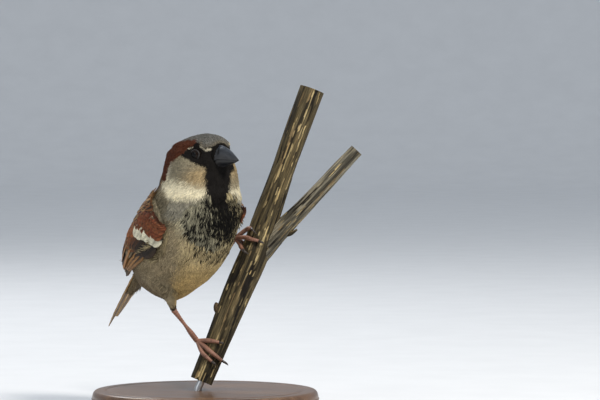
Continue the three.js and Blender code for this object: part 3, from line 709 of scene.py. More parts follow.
def markings(p, j):
    """Centre colour, edge colour and spottedness at points of the bird frame; j makes the limits ragged."""
    x, y, z = bird_to_head(p).T
    bz = p[:, 2]
    around = np.abs(bearing(p))
    coat = Paint(mix(mix(BELLY, OCHRE, smooth(-6, -19, bz + j)), BREAST, smooth(-4, 5, bz + j)))
    paint_underparts(coat, p, j, around)
    paint_gorget(coat, p, j)
    paint_neck(coat, bz, x, z, j, around)
    brow = paint_upperparts(coat, bz, x, y, z, j, around)
    paint_mask(coat, p, x, y, z, j, brow)
    return coat.centre, coat.edge, np.clip(coat.spots, 0, 1)


# ------------------------------------------------------------------ skin

COAT_DEPTH_HEAD, COAT_DEPTH_BODY, COAT_DEPTH_WING = 0.45, 0.95, 1.7
VOXEL, RELAX_FACTOR, RELAX_TIMES = 0.5, 0.5, 5


def body_depth(t):
    """How far the skin lies from the plumage's surface, negative as it is below it."""
    w = smooth(22, 34, along_rows(BODY_SLICES, t, (3, 4, 5))[..., 0])
    return -(COAT_DEPTH_BODY * (1 - w) + COAT_DEPTH_HEAD * w)


def wing_mound(side):
    """The skin under the folded wing's coverts, as its top and bottom grids."""
    s, t = np.meshgrid(np.linspace(0.015, 0.8, 60), np.linspace(0.03, 0.97, 30), indexing="ij")
    outer = wing_point(s, t, side)
    out = wing_frame(s, t, side)[2]
    depth = along_rows(WING_DEPTHS, s)[..., 0] * (1 - 0.5 * np.abs(2 * t - 1) ** 3)
    rim = np.minimum(1, 4 * np.minimum(np.minimum(s / 0.8, 1 - s / 0.8), np.minimum(t, 1 - t)) + 0.35)
    top = outer - out * (COAT_DEPTH_WING + 0.8 * (1 - rim))[..., None]
    bottom = outer - out * np.maximum(depth, COAT_DEPTH_WING + 1.4)[..., None]
    return top, bottom


def read_mesh(mesh):
    """Points in mm and triangles of a mesh."""
    points = np.empty(len(mesh.vertices) * 3, np.float32)
    mesh.vertices.foreach_get("co", points)
    mesh.calc_loop_triangles()
    tris = np.empty(len(mesh.loop_triangles) * 3, np.int32)
    mesh.loop_triangles.foreach_get("vertices", tris)
    return points.reshape(-1, 3).astype(float) / MM, tris.reshape(-1, 3)


def build_skin():
    """One skin over body, tail root, thighs and wing mounds, in the row frame."""
    a = np.linspace(-np.pi, np.pi, 128, endpoint=False)
    t, a = np.meshgrid(np.linspace(0, 1, 170), a, indexing="ij")
    k, b = np.meshgrid(np.linspace(0, 1, 30), np.linspace(0, 2 * np.pi, 32, endpoint=False), indexing="ij")
    shapes = [closed_tube(body_point(t, a, body_depth(t))), closed_tube(tail_root(k, b)[0])]
    for leg in LEGS.values():
        hip, heel = np.array(leg["hip"], float), np.array(leg["heel"], float)
        down = np.linspace(0, 1, 24)
        line = hip + (heel - hip) * down[:, None]
        shapes.append(closed_tube(tube(line, np.interp(down, *THIGH_RADII), 24)))
    shapes += [closed_slab(*wing_mound(side)) for side in ("right", "left")]
    starts = np.cumsum([0] + [len(points) for points, _ in shapes])
    faces = np.vstack([tris + start for (_, tris), start in zip(shapes, starts)])
    points = to_world(np.vstack([points for points, _ in shapes]))

    mesh = bpy.data.meshes.new("rough_skin")
    mesh.from_pydata((points * MM).tolist(), [], faces.tolist())
    rough = bpy.data.objects.new("rough_skin", mesh)
    bpy.context.scene.collection.objects.link(rough)
    remesh = rough.modifiers.new("remesh", "REMESH")
    remesh.mode, remesh.voxel_size = "VOXEL", VOXEL * MM
    relax = rough.modifiers.new("relax", "SMOOTH")
    relax.factor, relax.iterations = RELAX_FACTOR, RELAX_TIMES
    done = rough.evaluated_get(bpy.context.evaluated_depsgraph_get())
    skin = read_mesh(done.to_mesh())
    done.to_mesh_clear()
    bpy.data.objects.remove(rough)
    bpy.data.meshes.remove(mesh)
    return skin


def surface_uv(p):
    """Unwraps the body by bearing and height: a place on the skin's own shape, from 0 to 1."""
    bx, by, bz = np.asarray(p, float).T
    cx = np.interp(bz, [-26, -17, -2, 8, 17, 24, 40], [-13.8, -11.5, -3, 2.2, 5, 5.4, 7])
    cy = np.interp(bz, [-17, 8, 24], [0, 0.6, 3])
    return np.stack([np.arctan2(by - cy, bx - cx) / (2 * np.pi) + 0.5, (bz + 50) / 100], -1)


skin_points, skin_tris = build_skin()
skin_tree = BVHTree.FromPolygons(skin_points.tolist(), skin_tris.tolist())
skin_bird = to_bird(skin_points)
skin_centre, skin_edge, _ = markings(skin_bird, 0.6 * hash_noise(skin_bird, 1.1, 3))
make_piece(
    "plumage_skin", skin_points, skin_tris, SOFT,
    colours=0.75 * mix(skin_centre, skin_edge, 0.45),
    replaces=("head", "neck", "trunk", "thigh_right", "thigh_left", "wing_right", "wing_left"),
)

# ------------------------------------------------------------------ contour feathers


def scatter_body(top, bottom, spacing):
    """Jittered rows of root places on the body between two heights, in the bird frame."""
    t = np.linspace(0.001, 0.999, 1200)
    ring = body_point(t, 0 * t)
    arc, height = arc_length(ring), ring[:, 2]
    points = []
    for k, s in enumerate(np.arange(0.3, arc[-1], spacing * 0.9)):
        level = np.interp(s, arc, t)
        if not bottom <= np.interp(s, arc, height) < top:
            continue
        a = np.linspace(-np.pi, np.pi, 240)
        around = arc_length(body_point(np.full(240, level), a))
        count = max(3, int(around[-1] / spacing))
        place = (np.arange(count) + 0.5 * (k % 2) + rng.uniform(-0.35, 0.35, count)) * around[-1] / count
        shift = rng.uniform(-0.35, 0.35, count) * spacing / arc[-1]
        angle = np.interp(place % around[-1], around, a)
        points.append(body_point(np.clip(level + shift, 0.001, 0.999), angle))
    return np.vstack(points)


def on_skin(p, depth_limit):
    """Nearest skin places and normals of the points that lie close to the skin, and which those are."""
    found = [skin_tree.find_nearest(Vector(w)) for w in to_world(p)]
    place, normal = (np.array([hit[k][:] for hit in found]) for k in range(2))
    keep = np.array([hit[3] < depth_limit for hit in found])
    return to_bird(place)[keep], (normal @ R_BIRD)[keep], keep


BILL_ROOT = head_to_bird(np.array([9.5, 0, 0]))
DOWN_BODY, DOWN_FLANK = (-0.4, 0, -0.92), (-0.85, 0, -0.75)
DOWN_TAIL = (-math.cos(TAIL["pitch"]), 0, -math.sin(TAIL["pitch"]))


def flow(p, normal):
    """The lie of the coat: away from the bill on the head, down the body, out along the tail."""
    d = mix(DOWN_BODY, unit(p - BILL_ROOT), smooth(20, 31, p[:, 2]))
    d = mix(d, DOWN_FLANK, smooth(6, 15, np.abs(p[:, 1])) * smooth(16, 8, p[:, 2]))
    d = mix(d, DOWN_TAIL, smooth(-20, -30, p[:, 0] + 0.3 * p[:, 2]) * (p[:, 0] < -14))
    return on_plane(d, normal)


def lock_faces(rings):
    """Triangles of one closed three-sided lock: rings of three points, then its tip."""
    faces = [(0, 2, 1)]
    for r in range(rings - 1):
        for k in range(3):
            a, b = 3 * r + k, 3 * r + (k + 1) % 3
            faces += [(a, b, b + 3), (a, b + 3, a + 3)]
    last, tip = 3 * (rings - 1), 3 * rings
    faces += [(last + k, last + (k + 1) % 3, tip) for k in range(3)]
    return np.array(faces, np.int32)


LOCK_TAPER = {2: np.array([0.8, 1.0]), 3: np.array([0.75, 1.0, 0.8]), 4: np.array([0.75, 1.0, 0.8, 0.5])}
UV_PATCH = 0.0013  # half the width of one tuft on the bake map


def tuft_mesh(
    root, along, normal, size, coat, locks, rings, fan, bend,
    sink=0.25, dark_root=0.68, vary=0.09, paint=None,
):
    """Locks fanned from each root, lying along the coat. Returns points, triangles, colours, uv.

    Size is length, width and lift, coat is centre colour, edge colour and spottedness, each one
    value or one for each root. Paint, if given, replaces the coat's colours.
    """
    n = len(root)
    length, width, lift = (np.zeros(n) + value for value in size)
    centre, edge, spotted = coat
    side = np.cross(normal, along)
    j = np.linspace(-1, 1, locks)[None, :]
    angle = fan * j + 0.09 * rng.normal(0, 1, (n, locks))
    way = np.cos(angle)[..., None] * along[:, None] + np.sin(angle)[..., None] * side[:, None]
    across = np.cross(normal[:, None] * np.ones((1, locks, 1)), way)
    reach = length[:, None] * (1 - 0.22 * j**2) * (1 + 0.1 * rng.normal(0, 1, (n, locks)))
    start = root[:, None] + side[:, None] * (width[:, None] * j * 0.36)[..., None] - normal[:, None] * sink
    u = np.linspace(0, 1, rings + 1)
    run = reach[..., None] * u
    rise = lift[:, None, None] * (1 + 0.25 * rng.normal(0, 1, (n, locks, 1)))
    high = run * rise * (1 - 0.35 * u) - run**2 / (2 * bend)
    line = start[:, :, None] + way[:, :, None] * run[..., None] + normal[:, None, None] * high[..., None]
    half = ((width / locks * 0.78)[:, None, None] * LOCK_TAPER[rings])[..., None]
    body, out = line[:, :, :rings], across[:, :, None] * half
    ridge = body + normal[:, None, None] * half * 0.55
    corners = np.stack([body - out, body + out, ridge], 3).reshape(n, locks, rings * 3, 3)
    points = np.concatenate([corners, line[:, :, rings:]], 2)
    per = rings * 3 + 1
    faces = lock_faces(rings)[None] + (np.arange(n * locks) * per)[:, None, None]

    # the centre colour in the middle, the edge colour at the sides and the tip
    level = np.append(np.repeat(u[:rings], 3), 1.0)[None, None, :]
    plain = 0.25 + 0.5 * level
    margin = np.clip(np.maximum(np.abs(j)[..., None] ** 2 * 1.05, smooth(0.62, 1.0, level)), 0, 1)
    spotted = spotted[:, None, None]
    blend = np.clip(plain * (1 - spotted) + margin * spotted + 0.12 * rng.normal(0, 1, (n, locks, 1)), 0, 1)
    if paint is None:
        colour = mix(centre[:, None, None], edge[:, None, None], blend)
    else:
        colour = paint(j[..., None] * np.ones((n, 1, per)), level * np.ones((n, locks, 1)))
    shade = dark_root + (1 - dark_root) * smooth(0.0, 0.55, level)
    shade = shade * (1 + vary * rng.normal(0, 1, (n, locks, 1)))
    shade = shade * (1 + 0.09 * rng.normal(0, 1, (n, 1, 1)))
    colour = colour * np.clip(shade, 0.25, 1.8)[..., None]
    patch = np.stack([j[..., None] * np.ones((1, 1, per)), 2 * level * np.ones((1, locks, 1)) - 1], -1)
    uv = surface_uv(root)[:, None, None] + UV_PATCH * patch
    return points.reshape(-1, 3), faces.reshape(-1, 3), colour.reshape(-1, 3), uv.reshape(-1, 2)


def tuft_piece(name, root, tufts, whole=False):
    """Makes a piece of tufts, its bake map spread to the limits of its roots or of its whole patches."""
    points, faces, colours, uv = tufts
    anchor = np.repeat(surface_uv(root), len(points) // len(root), axis=0)
    extent = uv if whole else anchor
    low, high = extent.min(0), extent.max(0)
    uv = 0.004 + 0.992 * (anchor - low) / (high - low) + (uv - anchor)
    make_piece(name, to_world(points), faces, SOFT, colours=colours, uv=uv)


def coat_zone(zone, parts, limits, spacing, size, locks, rings, allowed=None, **options):
    """The coat between two heights, in pieces. Its length and lift may depend on the place."""
    points = scatter_body(*limits, spacing / math.sqrt(DENSITY))
    if allowed is not None:
        points = points[allowed(points)]
    for k, part in enumerate(np.array_split(points, parts)):
        root, normal, _ = on_skin(part, 2.6)
        n = len(root)
        way = flow(root, normal)
        ragged = 0.55 * hash_noise(root, 1.4, 5) + 0.3 * rng.normal(0, 1, n)
        length, width, lift = (value(root) if callable(value) else np.full(n, value) for value in size)
        coat = markings(root + way * (0.6 * length)[:, None], ragged)
        length = length * rng.uniform(0.85, 1.15, n)
        width = width * rng.uniform(0.85, 1.15, n)
        tufts = tuft_mesh(root, way, normal, (length, width, lift), coat, locks, rings, **options)
        tuft_piece(f"coat_{zone}_{k + 1}", root, tufts, whole=True)


def not_in_bill_or_eye(p):
    x, y, z = bird_to_head(p).T
    eye = np.hypot(np.hypot(x - EYE_X, np.abs(y) - EYE_Y), z - EYE_Z)
    ellipse = np.hypot(y / 4.3, (z + 0.15) / 4.7)
    return (eye > EYE_RADIUS + 0.42) & ~((x > 7) & (ellipse < 1.0))


def face_length(p):
    """Short round the bill and the eye."""
    h = bird_to_head(p)
    from_bill = np.linalg.norm(h - np.array([10.2, 0, -0.3]), axis=1) - 4.2
    from_eye = np.hypot(h[:, 0] - 4.3, h[:, 2] - 2.1) - 2.1
    return np.clip(0.75 + 0.22 * np.minimum(from_bill, from_eye), 0.8, 2.6)


def belly_length(p):
    return np.interp(p[:, 2], [-28, -22, -10], [2.6, 3.6, 4.8])


def belly_lift(p):
    return np.interp(p[:, 0] + 0.4 * p[:, 2], [-26, -14], [0.06, 0.1])


def bill_fringe():
    """Short black feathers that lie forward over the root of the bill."""
    count = int(420 * DENSITY)
    a = rng.uniform(0, 2 * np.pi, count)
    ring = np.stack([rng.uniform(8.9, 9.7, count), np.cos(a) * 4.3, np.sin(a) * 4.7 - 0.15], -1)
    normal = unit(np.stack([np.full(count, 0.35), np.cos(a), np.sin(a)], -1))
    way = on_plane(unit(np.array([1.0, 0, 0]) + 0.12 * rng.normal(0, 1, (count, 3))), normal)
    black = np.tile(BLACK, (count, 1))
    size, coat = (rng.uniform(1.2, 2.1, count), 0.8, 0.14), (black, black * 2, np.zeros(count))
    root, way, normal = head_to_bird(ring), way @ R_HEAD.T, normal @ R_HEAD.T
    points, faces, colours, uv = tuft_mesh(root, way, normal, size, coat, 3, 2, fan=0.3, bend=16, sink=0.0)
    make_piece("coat_bill_fringe", to_world(points), faces, SOFT, colours=colours, uv=uv)


coat_zone(
    "head", 2, (50, 30.5), 0.55, (face_length, 0.76, 0.2), 4, 2, not_in_bill_or_eye,
    fan=0.3, bend=14, sink=0.12, dark_root=0.6, vary=0.17,
)
bill_fringe()
coat_zone(
    "neck", 2, (30.5, 17), 0.82, (3.6, 1.15, 0.17), 5, 3, fan=0.3, bend=18, sink=0.2, dark_root=0.7, vary=0.1
)
coat_zone(
    "breast", 3, (17, -8), 1.06, (4.6, 1.65, 0.11), 6, 3,
    fan=0.34, bend=22, sink=0.2, dark_root=0.55, vary=0.17,
)
coat_zone(
    "belly", 2, (-8, -29), 1.25, (belly_length, 1.9, belly_lift), 6, 3,
    fan=0.34, bend=17, sink=0.12, dark_root=0.6, vary=0.14,
)

# ------------------------------------------------------------------ tail coverts and trousers


def height_on_tail(p):
    """How far points lie above the tail's plane, in the tail's own twisted frame."""
    q = np.asarray(p, float) - np.array([TAIL["x"], 0, TAIL["z"]])
    c, s = math.cos(-TAIL["pitch"]), math.sin(-TAIL["pitch"])
    x, z = q[:, 0] * c - q[:, 2] * s, q[:, 0] * s + q[:, 2] * c
    twist = TAIL_TWIST[0] + (TAIL_TWIST[1] - TAIL_TWIST[0]) * np.clip(-x / TAIL["length"], 0, 1)
    return -q[:, 1] * np.sin(twist) + z * np.cos(twist)


def extra_coat(name, points, way, size, paint, locks, rings, **options):
    """Tufts on a part that sticks out of the body: its own direction and colours."""
    root, normal, keep = on_skin(points, 3.0)
    way = on_plane(way[keep], normal)
    size = (size[0] * rng.uniform(0.8, 1.2, len(root)), *size[1:])
    tuft_piece(name, root, tuft_mesh(root, way, normal, size, paint(root), locks, rings, **options))


def paint_tail_coverts(p):
    under = smooth(0.5, -1.5, height_on_tail(p) + 0.6 * hash_noise(p, 2, 9))
    return mix(RUMP * 1.1, VENT, under), mix(RUMP * 1.7, VENT * 1.3, under), np.full(len(p), 0.35)


def paint_trousers(p):
    tone = mix(VENT * 0.85, FLANK * 0.9, smooth(-1, 1, hash_noise(p, 1.5, 4)))
    heels = np.array([leg["heel"] for leg in LEGS.values()], float)
    near = np.min(np.linalg.norm(p[:, None] - heels[None], axis=2), axis=1)
    tone = mix(tone, (0.06, 0.042, 0.028), smooth(5.5, 3.0, near + 0.5 * hash_noise(p, 0.8, 33)))
    return tone, tone * 1.35, np.full(len(p), 0.2)


def tail_coverts():
    count = int(800 * DENSITY)
    k, b = rng.uniform(0.0, 0.93, count) ** 0.9, rng.uniform(0, 2 * np.pi, count)
    where, way = tail_root(k, b)
    size = (4.4, 2.2, -0.05)
    extra_coat("coat_tail_coverts", where, way, size, paint_tail_coverts, 6, 3, fan=0.14, bend=13)


def trousers(name, leg, length):
    hip, heel = np.array(leg["hip"], float), np.array(leg["heel"], float)
    count = int(420 * DENSITY)
    k, b = rng.uniform(0.4, 0.97, count), rng.uniform(0, 2 * np.pi, count)
    axis = unit(heel - hip)
    side = unit(np.cross(axis, [0, 1, 0.2]))
    round_leg = np.cos(b)[:, None] * side + np.sin(b)[:, None] * np.cross(axis, side)
    where = hip + (heel - hip) * k[:, None] + np.interp(k, *THIGH_RADII)[:, None] * round_leg
    way = np.tile(axis, (count, 1))
    size = (length, 1.2, -0.03)
    extra_coat(f"coat_thigh_{name}", where, way, size, paint_trousers, 5, 2, fan=0.25, bend=8)


tail_coverts()
trousers("right", LEGS["right"], 2.0)
trousers("left", LEGS["left"], 1.1)

# ------------------------------------------------------------------ vaned feathers


class Vanes:
    """Collects closed feather blades into one piece, each with its own place on the bake map."""

    def __init__(self, cells):
        self.cells = math.ceil(math.sqrt(cells))
        self.points, self.faces, self.colours, self.bake, self.vane = [], [], [], [], []
        self.count = 0

    def add(
        self, centre, normal, half, paint, cols=9, thickness=0.16, cup=0.02, spacing=0.35, shaft=0.12,
        roll=0.0, under=0.7,
    ):
        """One blade along a line of centres; under is how its underside's colour differs."""
        rows = len(centre)
        side = unit(np.cross(unit(np.gradient(centre, axis=0)), normal))
        up = np.cross(side, unit(np.gradient(centre, axis=0)))
        w = np.linspace(-1, 1, cols)
        w = np.sign(w) * np.abs(w) ** 0.85
        ragged = 1 + 0.035 * rng.normal(0, 1, (rows, 1)) * (np.abs(w) > 0.9)
        across = half[:, None] * w * ragged
        high = -cup * across**2 + shaft * bell(w / 0.12) * (half[:, None] > 0.3) + roll * across
        high = high + 0.03 * rng.normal(0, 1, (rows, cols))
        top = centre[:, None] + side[:, None] * across[..., None] + up[:, None] * high[..., None]
        bottom = top - up[:, None] * (thickness * (1 - 0.6 * np.abs(w)) + 0.04)[None, :, None]
        points, faces = closed_slab(top, bottom)
        dist = arc_length(centre)
        u, w = (dist / dist[-1])[:, None] * np.ones(cols), np.ones((rows, 1)) * w
        colour = paint(u, w).reshape(-1, 3)
        corner = np.array([len(self.bake) % self.cells, len(self.bake) // self.cells]) / self.cells
        local = np.stack([(w + 1) / 2, u], -1).reshape(-1, 2)
        front = corner + (0.04 + 0.92 * local * np.array([0.62, 1])) / self.cells
        back = corner + (0.04 + 0.92 * (local * np.array([0.3, 1]) + np.array([0.66, 0]))) / self.cells
        barbs = np.stack([w, (dist[:, None] - 0.9 * np.abs(across)) / spacing * 0.314], -1).reshape(-1, 2)
        self.points.append(points)
        self.faces.append(faces + self.count)
        self.colours += [colour, np.array(under) * colour]
        self.bake.append(np.vstack([front, back]))
        self.vane += [barbs, barbs]
        self.count += len(points)

    def finish(self, name, material, slot, replaces=()):
        points, faces, colours, bake, vane = (
            np.vstack(part) for part in (self.points, self.faces, self.colours, self.bake, self.vane)
        )
        make_piece(name, to_world(points), faces, material, replaces, colours, bake, vane)


def blade_rows(rows):
    return 1 - (1 - np.linspace(0, 1, rows)) ** 1.35


def blade_outline(u, width, shoulder=0.3, tip=0.62, blunt=2.2, root=0.35):
    """Half width of a feather along its length: a narrow root, full vane and rounded tip."""
    grow = root + (1 - root) * smooth(0, shoulder, u)
    close = (1 - np.clip((u - tip) / (1 - tip), 0, 1) ** blunt) ** (1 / blunt)
    return 0.5 * width * grow * np.maximum(close, 0.06)


def paint_vane(
    base, tip, tip_from=0.7, margin=None, margin_from=0.75, root_dark=0.6,
    streak=None, streak_half=0.2, uneven=0.0,
):
    """How one feather is coloured: base to tip, with an edge margin, a middle streak and a dark shaft."""
    tone = 1 + 0.12 * rng.normal()

    def paint(u, w):
        colour = mix(base, tip, smooth(tip_from - 0.1, tip_from + 0.1, u + uneven * np.abs(w)))
        if margin is not None:
            colour = mix(colour, margin, smooth(margin_from - 0.12, margin_from + 0.12, np.abs(w)))
        if streak is not None:
            m = smooth(streak_half + 0.12, streak_half - 0.08, np.abs(w + 0.1)) * smooth(1.0, 0.86, u)
            colour = mix(colour, streak, m)
        colour = mix(colour, (0.03, 0.02, 0.014), 0.35 * bell(w / 0.07))
        colour = colour * (root_dark + (1 - root_dark) * smooth(0, 0.4, u))[..., None] * tone
        return colour * (1 + 0.06 * rng.normal(0, 1, u.shape))[..., None]

    return paint


DARK_VANE, DARK_TIP = rgb(0.034, 0.022, 0.014), rgb(0.028, 0.018, 0.012)
BLACK_VANE = rgb(0.012, 0.008, 0.006)
RUFOUS, BUFF, WHITE_TIP = rgb(0.19, 0.062, 0.018), rgb(0.4, 0.245, 0.105), rgb(0.68, 0.63, 0.47)
LESSER, LESSER_BRIGHT = rgb(0.17, 0.044, 0.017), rgb(0.21, 0.075, 0.028)
PRIMARY_EDGE, SECONDARY_EDGE, ALULA_EDGE = (0.2, 0.115, 0.05), (0.3, 0.155, 0.055), (0.13, 0.06, 0.024)
PAST_TIP = 60  # mm that a feather reaches beyond the wing's end for each unit of s over 1


def feather_on_wing(
    vanes, side, begin, end, width, lie, paint, rows, cols=9, bow=0.0, roll=0.0, cup=0.02, **outline
):
    """A feather on the wing from one place (s, t) to another, raised from lie[0] to lie[1] mm off it."""
    u = blade_rows(rows)
    s = begin[0] + (end[0] - begin[0]) * u
    t = begin[1] + (end[1] - begin[1]) * u + bow * np.sin(np.pi * u)
    beyond, s = np.maximum(0, s - 1), np.minimum(s, 1)
    to_tip, _, out = wing_frame(s, t, side)
    raised = lie[0] + (lie[1] - lie[0]) * u
    centre = wing_point(s, t, side) + out * raised[:, None] + to_tip * beyond[:, None] * PAST_TIP
    normal = unit(0.4 * unit(np.cumsum(out, axis=0)) + 0.6 * out)
    roll = roll if side == "right" else -roll
    vanes.add(centre, normal, blade_outline(u, width, **outline), paint, cols=cols, cup=cup, roll=roll)


def jit(amount):
    return rng.normal(0, amount)


def flight_feathers(side):
    flight = Vanes(26)
    for k in range(8):  # primaries, the outermost lowest
        root, tip = (0.46 + 0.012 * k, 0.04 + 0.045 * k), (1.0 - 0.026 * k, 0.22 + 0.07 * k)
        lie = (-1.5 + 0.05 * k, -1.25 + 0.16 * k)
        paint = paint_vane(DARK_VANE, DARK_TIP, 0.8, margin=PRIMARY_EDGE, margin_from=0.86)
        feather_on_wing(flight, side, root, tip, 6.0, lie, paint, 20, bow=-0.02, tip=0.7, blunt=1.7)
    for k in range(7):  # secondaries
        root, tip = (0.36 + 0.01 * k, 0.06 + 0.075 * k), (0.83 - 0.012 * k, 0.13 + 0.075 * k)
        lie = (-1.25 + 0.07 * k, -0.75 + 0.07 * k)
        paint = paint_vane(DARK_VANE, BLACK_VANE, 0.9, margin=SECONDARY_EDGE, margin_from=0.7)
        feather_on_wing(flight, side, root, tip, 6.2, lie, paint, 16, roll=0.03, tip=0.75)
    for k in range(3):  # tertials
        root, tip = (0.3, 0.42 + 0.13 * k), (0.81 - 0.055 * k, 0.34 + 0.16 * k)
        lie = (-0.95 + 0.12 * k, -0.2 + 0.12 * k)
        margin = mix(RUFOUS * 1.3, BUFF, 0.45)
        paint = paint_vane(BLACK_VANE, DARK_VANE, 0.9, margin=margin, margin_from=0.52)
        feather_on_wing(flight, side, root, tip, 9.0 - 0.5 * k, lie, paint, 16, cols=11, tip=0.62, cup=0.012)
    for k in range(4):  # primary coverts and the alula
        root, tip = (0.24 + 0.02 * k, 0.02 + 0.012 * k), (0.45 - 0.045 * k, 0.07 + 0.02 * k)
        lie = (-1.1 + 0.12 * k, -0.65 + 0.14 * k)
        paint = paint_vane(BLACK_VANE, BLACK_VANE, 0.9, margin=ALULA_EDGE, margin_from=0.88)
        feather_on_wing(flight, side, root, tip, 4.2, lie, paint, 12, cols=7, roll=0.04)
    flight.finish(f"wing_flight_{side}", VANED, "wing_feathers", replaces=(f"primaries_{side}",))


def wing_coverts(side):
    coverts = Vanes(200)
    for k in range(11):  # greater coverts
        t = 0.03 + 0.062 * k
        root = (0.19 + 0.3 * t + jit(0.004), t + 0.01)
        tip = (0.44 + 0.2 * t + jit(0.008), t + jit(0.006))
        margin = mix((0.03, 0.018, 0.01), RUFOUS, smooth(1, 5, k))
        end = mix(margin, BUFF * 0.8, smooth(1, 4, k))
        paint = paint_vane(BLACK_VANE, end, 0.94, margin=margin, margin_from=0.42, uneven=0.05)
        lie = (-0.95, -0.32 + 0.03 * k)
        feather_on_wing(coverts, side, root, tip, 6.4, lie, paint, 14, roll=0.05, tip=0.55)
    for k in range(10):  # median coverts with their white tips
        t = 0.03 + 0.064 * k
        root = (0.075 + 0.4 * t + jit(0.004), t + 0.005)
        tip = (0.23 + 0.4 * t + jit(0.008), t + jit(0.006))
        end = WHITE_TIP if k < 6 else RUFOUS * 1.3
        paint = paint_vane(BLACK_VANE, end, 0.5, streak=(0.016, 0.012, 0.009), streak_half=0.04, uneven=0.12)
        feather_on_wing(coverts, side, root, tip, 6.2, (-0.7, 0.03 * k), paint, 12, roll=0.05, tip=0.5)
    for row in range(6):  # lesser coverts
        odd = row % 2
        for k in range(9 - odd):
            t = 0.03 + 0.062 * (k + 0.5 * odd) + jit(0.008)
            s = 0.152 - 0.034 * row + 0.42 * t + jit(0.006)
            tone = mix(LESSER, LESSER_BRIGHT, rng.uniform(0, 0.8))
            paint = paint_vane(tone * 0.6, tone, 0.6, root_dark=0.5, streak=tone * 0.5, streak_half=0.1)
            root, tip = (max(s - 0.105, -0.01), t), (max(s, 0.03), t + jit(0.008))
            lie = (-0.9, 0.12 + 0.06 * row)
            feather_on_wing(coverts, side, root, tip, 4.6, lie, paint, 8, cols=7, cup=0.05, tip=0.45)
    for row in range(6):  # scapulars and the mantle's lower edge
        for k in range(9):
            t = 0.5 + 0.065 * (k + 0.5 * (row % 2)) + jit(0.012)
            s = 0.5 - 0.078 * row - 0.02 * k + jit(0.01)
            web = mix(RUFOUS * 0.9, BUFF, 0.85 * smooth(0, 1, rng.uniform()))
            paint = paint_vane(web, web * 1.1, 0.8, streak=BLACK_VANE, streak_half=0.3)
            root, tip = (s - 0.19, min(t, 1.02)), (s, min(t - 0.02, 1.0))
            lie = (-1.0, 0.1 + 0.09 * row)
            feather_on_wing(coverts, side, root, tip, 5.0, lie, paint, 10, cup=0.03, tip=0.38, blunt=1.35)
    coverts.finish(f"wing_coverts_{side}", VANED, "wing_feathers", replaces=(f"wing_{side}",))


for name in ("right", "left"):
    flight_feathers(name)
    wing_coverts(name)

# ------------------------------------------------------------------ breast feathers over the wings' edges


def paint_side(p):
    tone = mix(SIDE_GREY * 0.9, BREAST * 0.7, smooth(-0.6, 0.6, hash_noise(p, 2.2, 14)))
    tone = tone * np.array([1.08, 1.0, 0.86])
    return tone * 0.7, tone * 1.8, np.full(len(p), 0.6)


for name in ("right", "left"):
    count = int(330 * DENSITY)
    s, t = rng.uniform(0.0, 0.42, count), rng.uniform(-0.1, 0.015, count)
    to_tip, to_back, _ = wing_frame(s, t, name)
    extra_coat(
        f"coat_side_{name}", wing_point(s, t, name), to_tip + 0.45 * to_back, (5.6, 1.9, 0.2),
        paint_side, 6, 3, fan=0.35, bend=26, sink=0.0,
    )

# ------------------------------------------------------------------ the streaked mantle


def mantle_vanes():
    """Buff feathers with a black streak, plain ones on the rump, laid from the lowest up."""
    mantle = Vanes(260)
    roots = scatter_body(28.5, -2, 3.1)
    roots = roots[np.abs(np.degrees(np.arctan2(roots[:, 1] - 1.8, roots[:, 0] - 5))) > 112]
    seat, outs, _ = on_skin(roots[np.argsort(roots[:, 2])], 3.5)
    u = blade_rows(10)
    for root, out, way in zip(seat, outs, flow(seat, outs)):
        length = np.interp(root[2], [0, 14, 28], [9.5, 9.5, 6.5]) * rng.uniform(0.9, 1.1)
        reach = length * u
        centre = root + way * reach[:, None] + out * (0.15 + 0.16 * reach - reach**2 / 60)[:, None]
        if root[2] < 6:
            paint = paint_vane(RUMP * 0.9, RUMP * 1.5, 0.75)
        else:
            web = mix(MANTLE_BROWN * 1.2, MANTLE_EDGE, rng.uniform(0, 1))
            paint = paint_vane(web, web * 1.1, 0.8, streak=BLACK_VANE, streak_half=rng.uniform(0.25, 0.5))
        outline = blade_outline(u, length * 0.6, tip=0.5)
        mantle.add(centre, np.tile(out, (10, 1)), outline, paint, cup=0.03, thickness=0.12)
    mantle.finish("coat_mantle_vanes", VANED, "plumage")


mantle_vanes()

# ------------------------------------------------------------------ black-centred feathers of the gorget


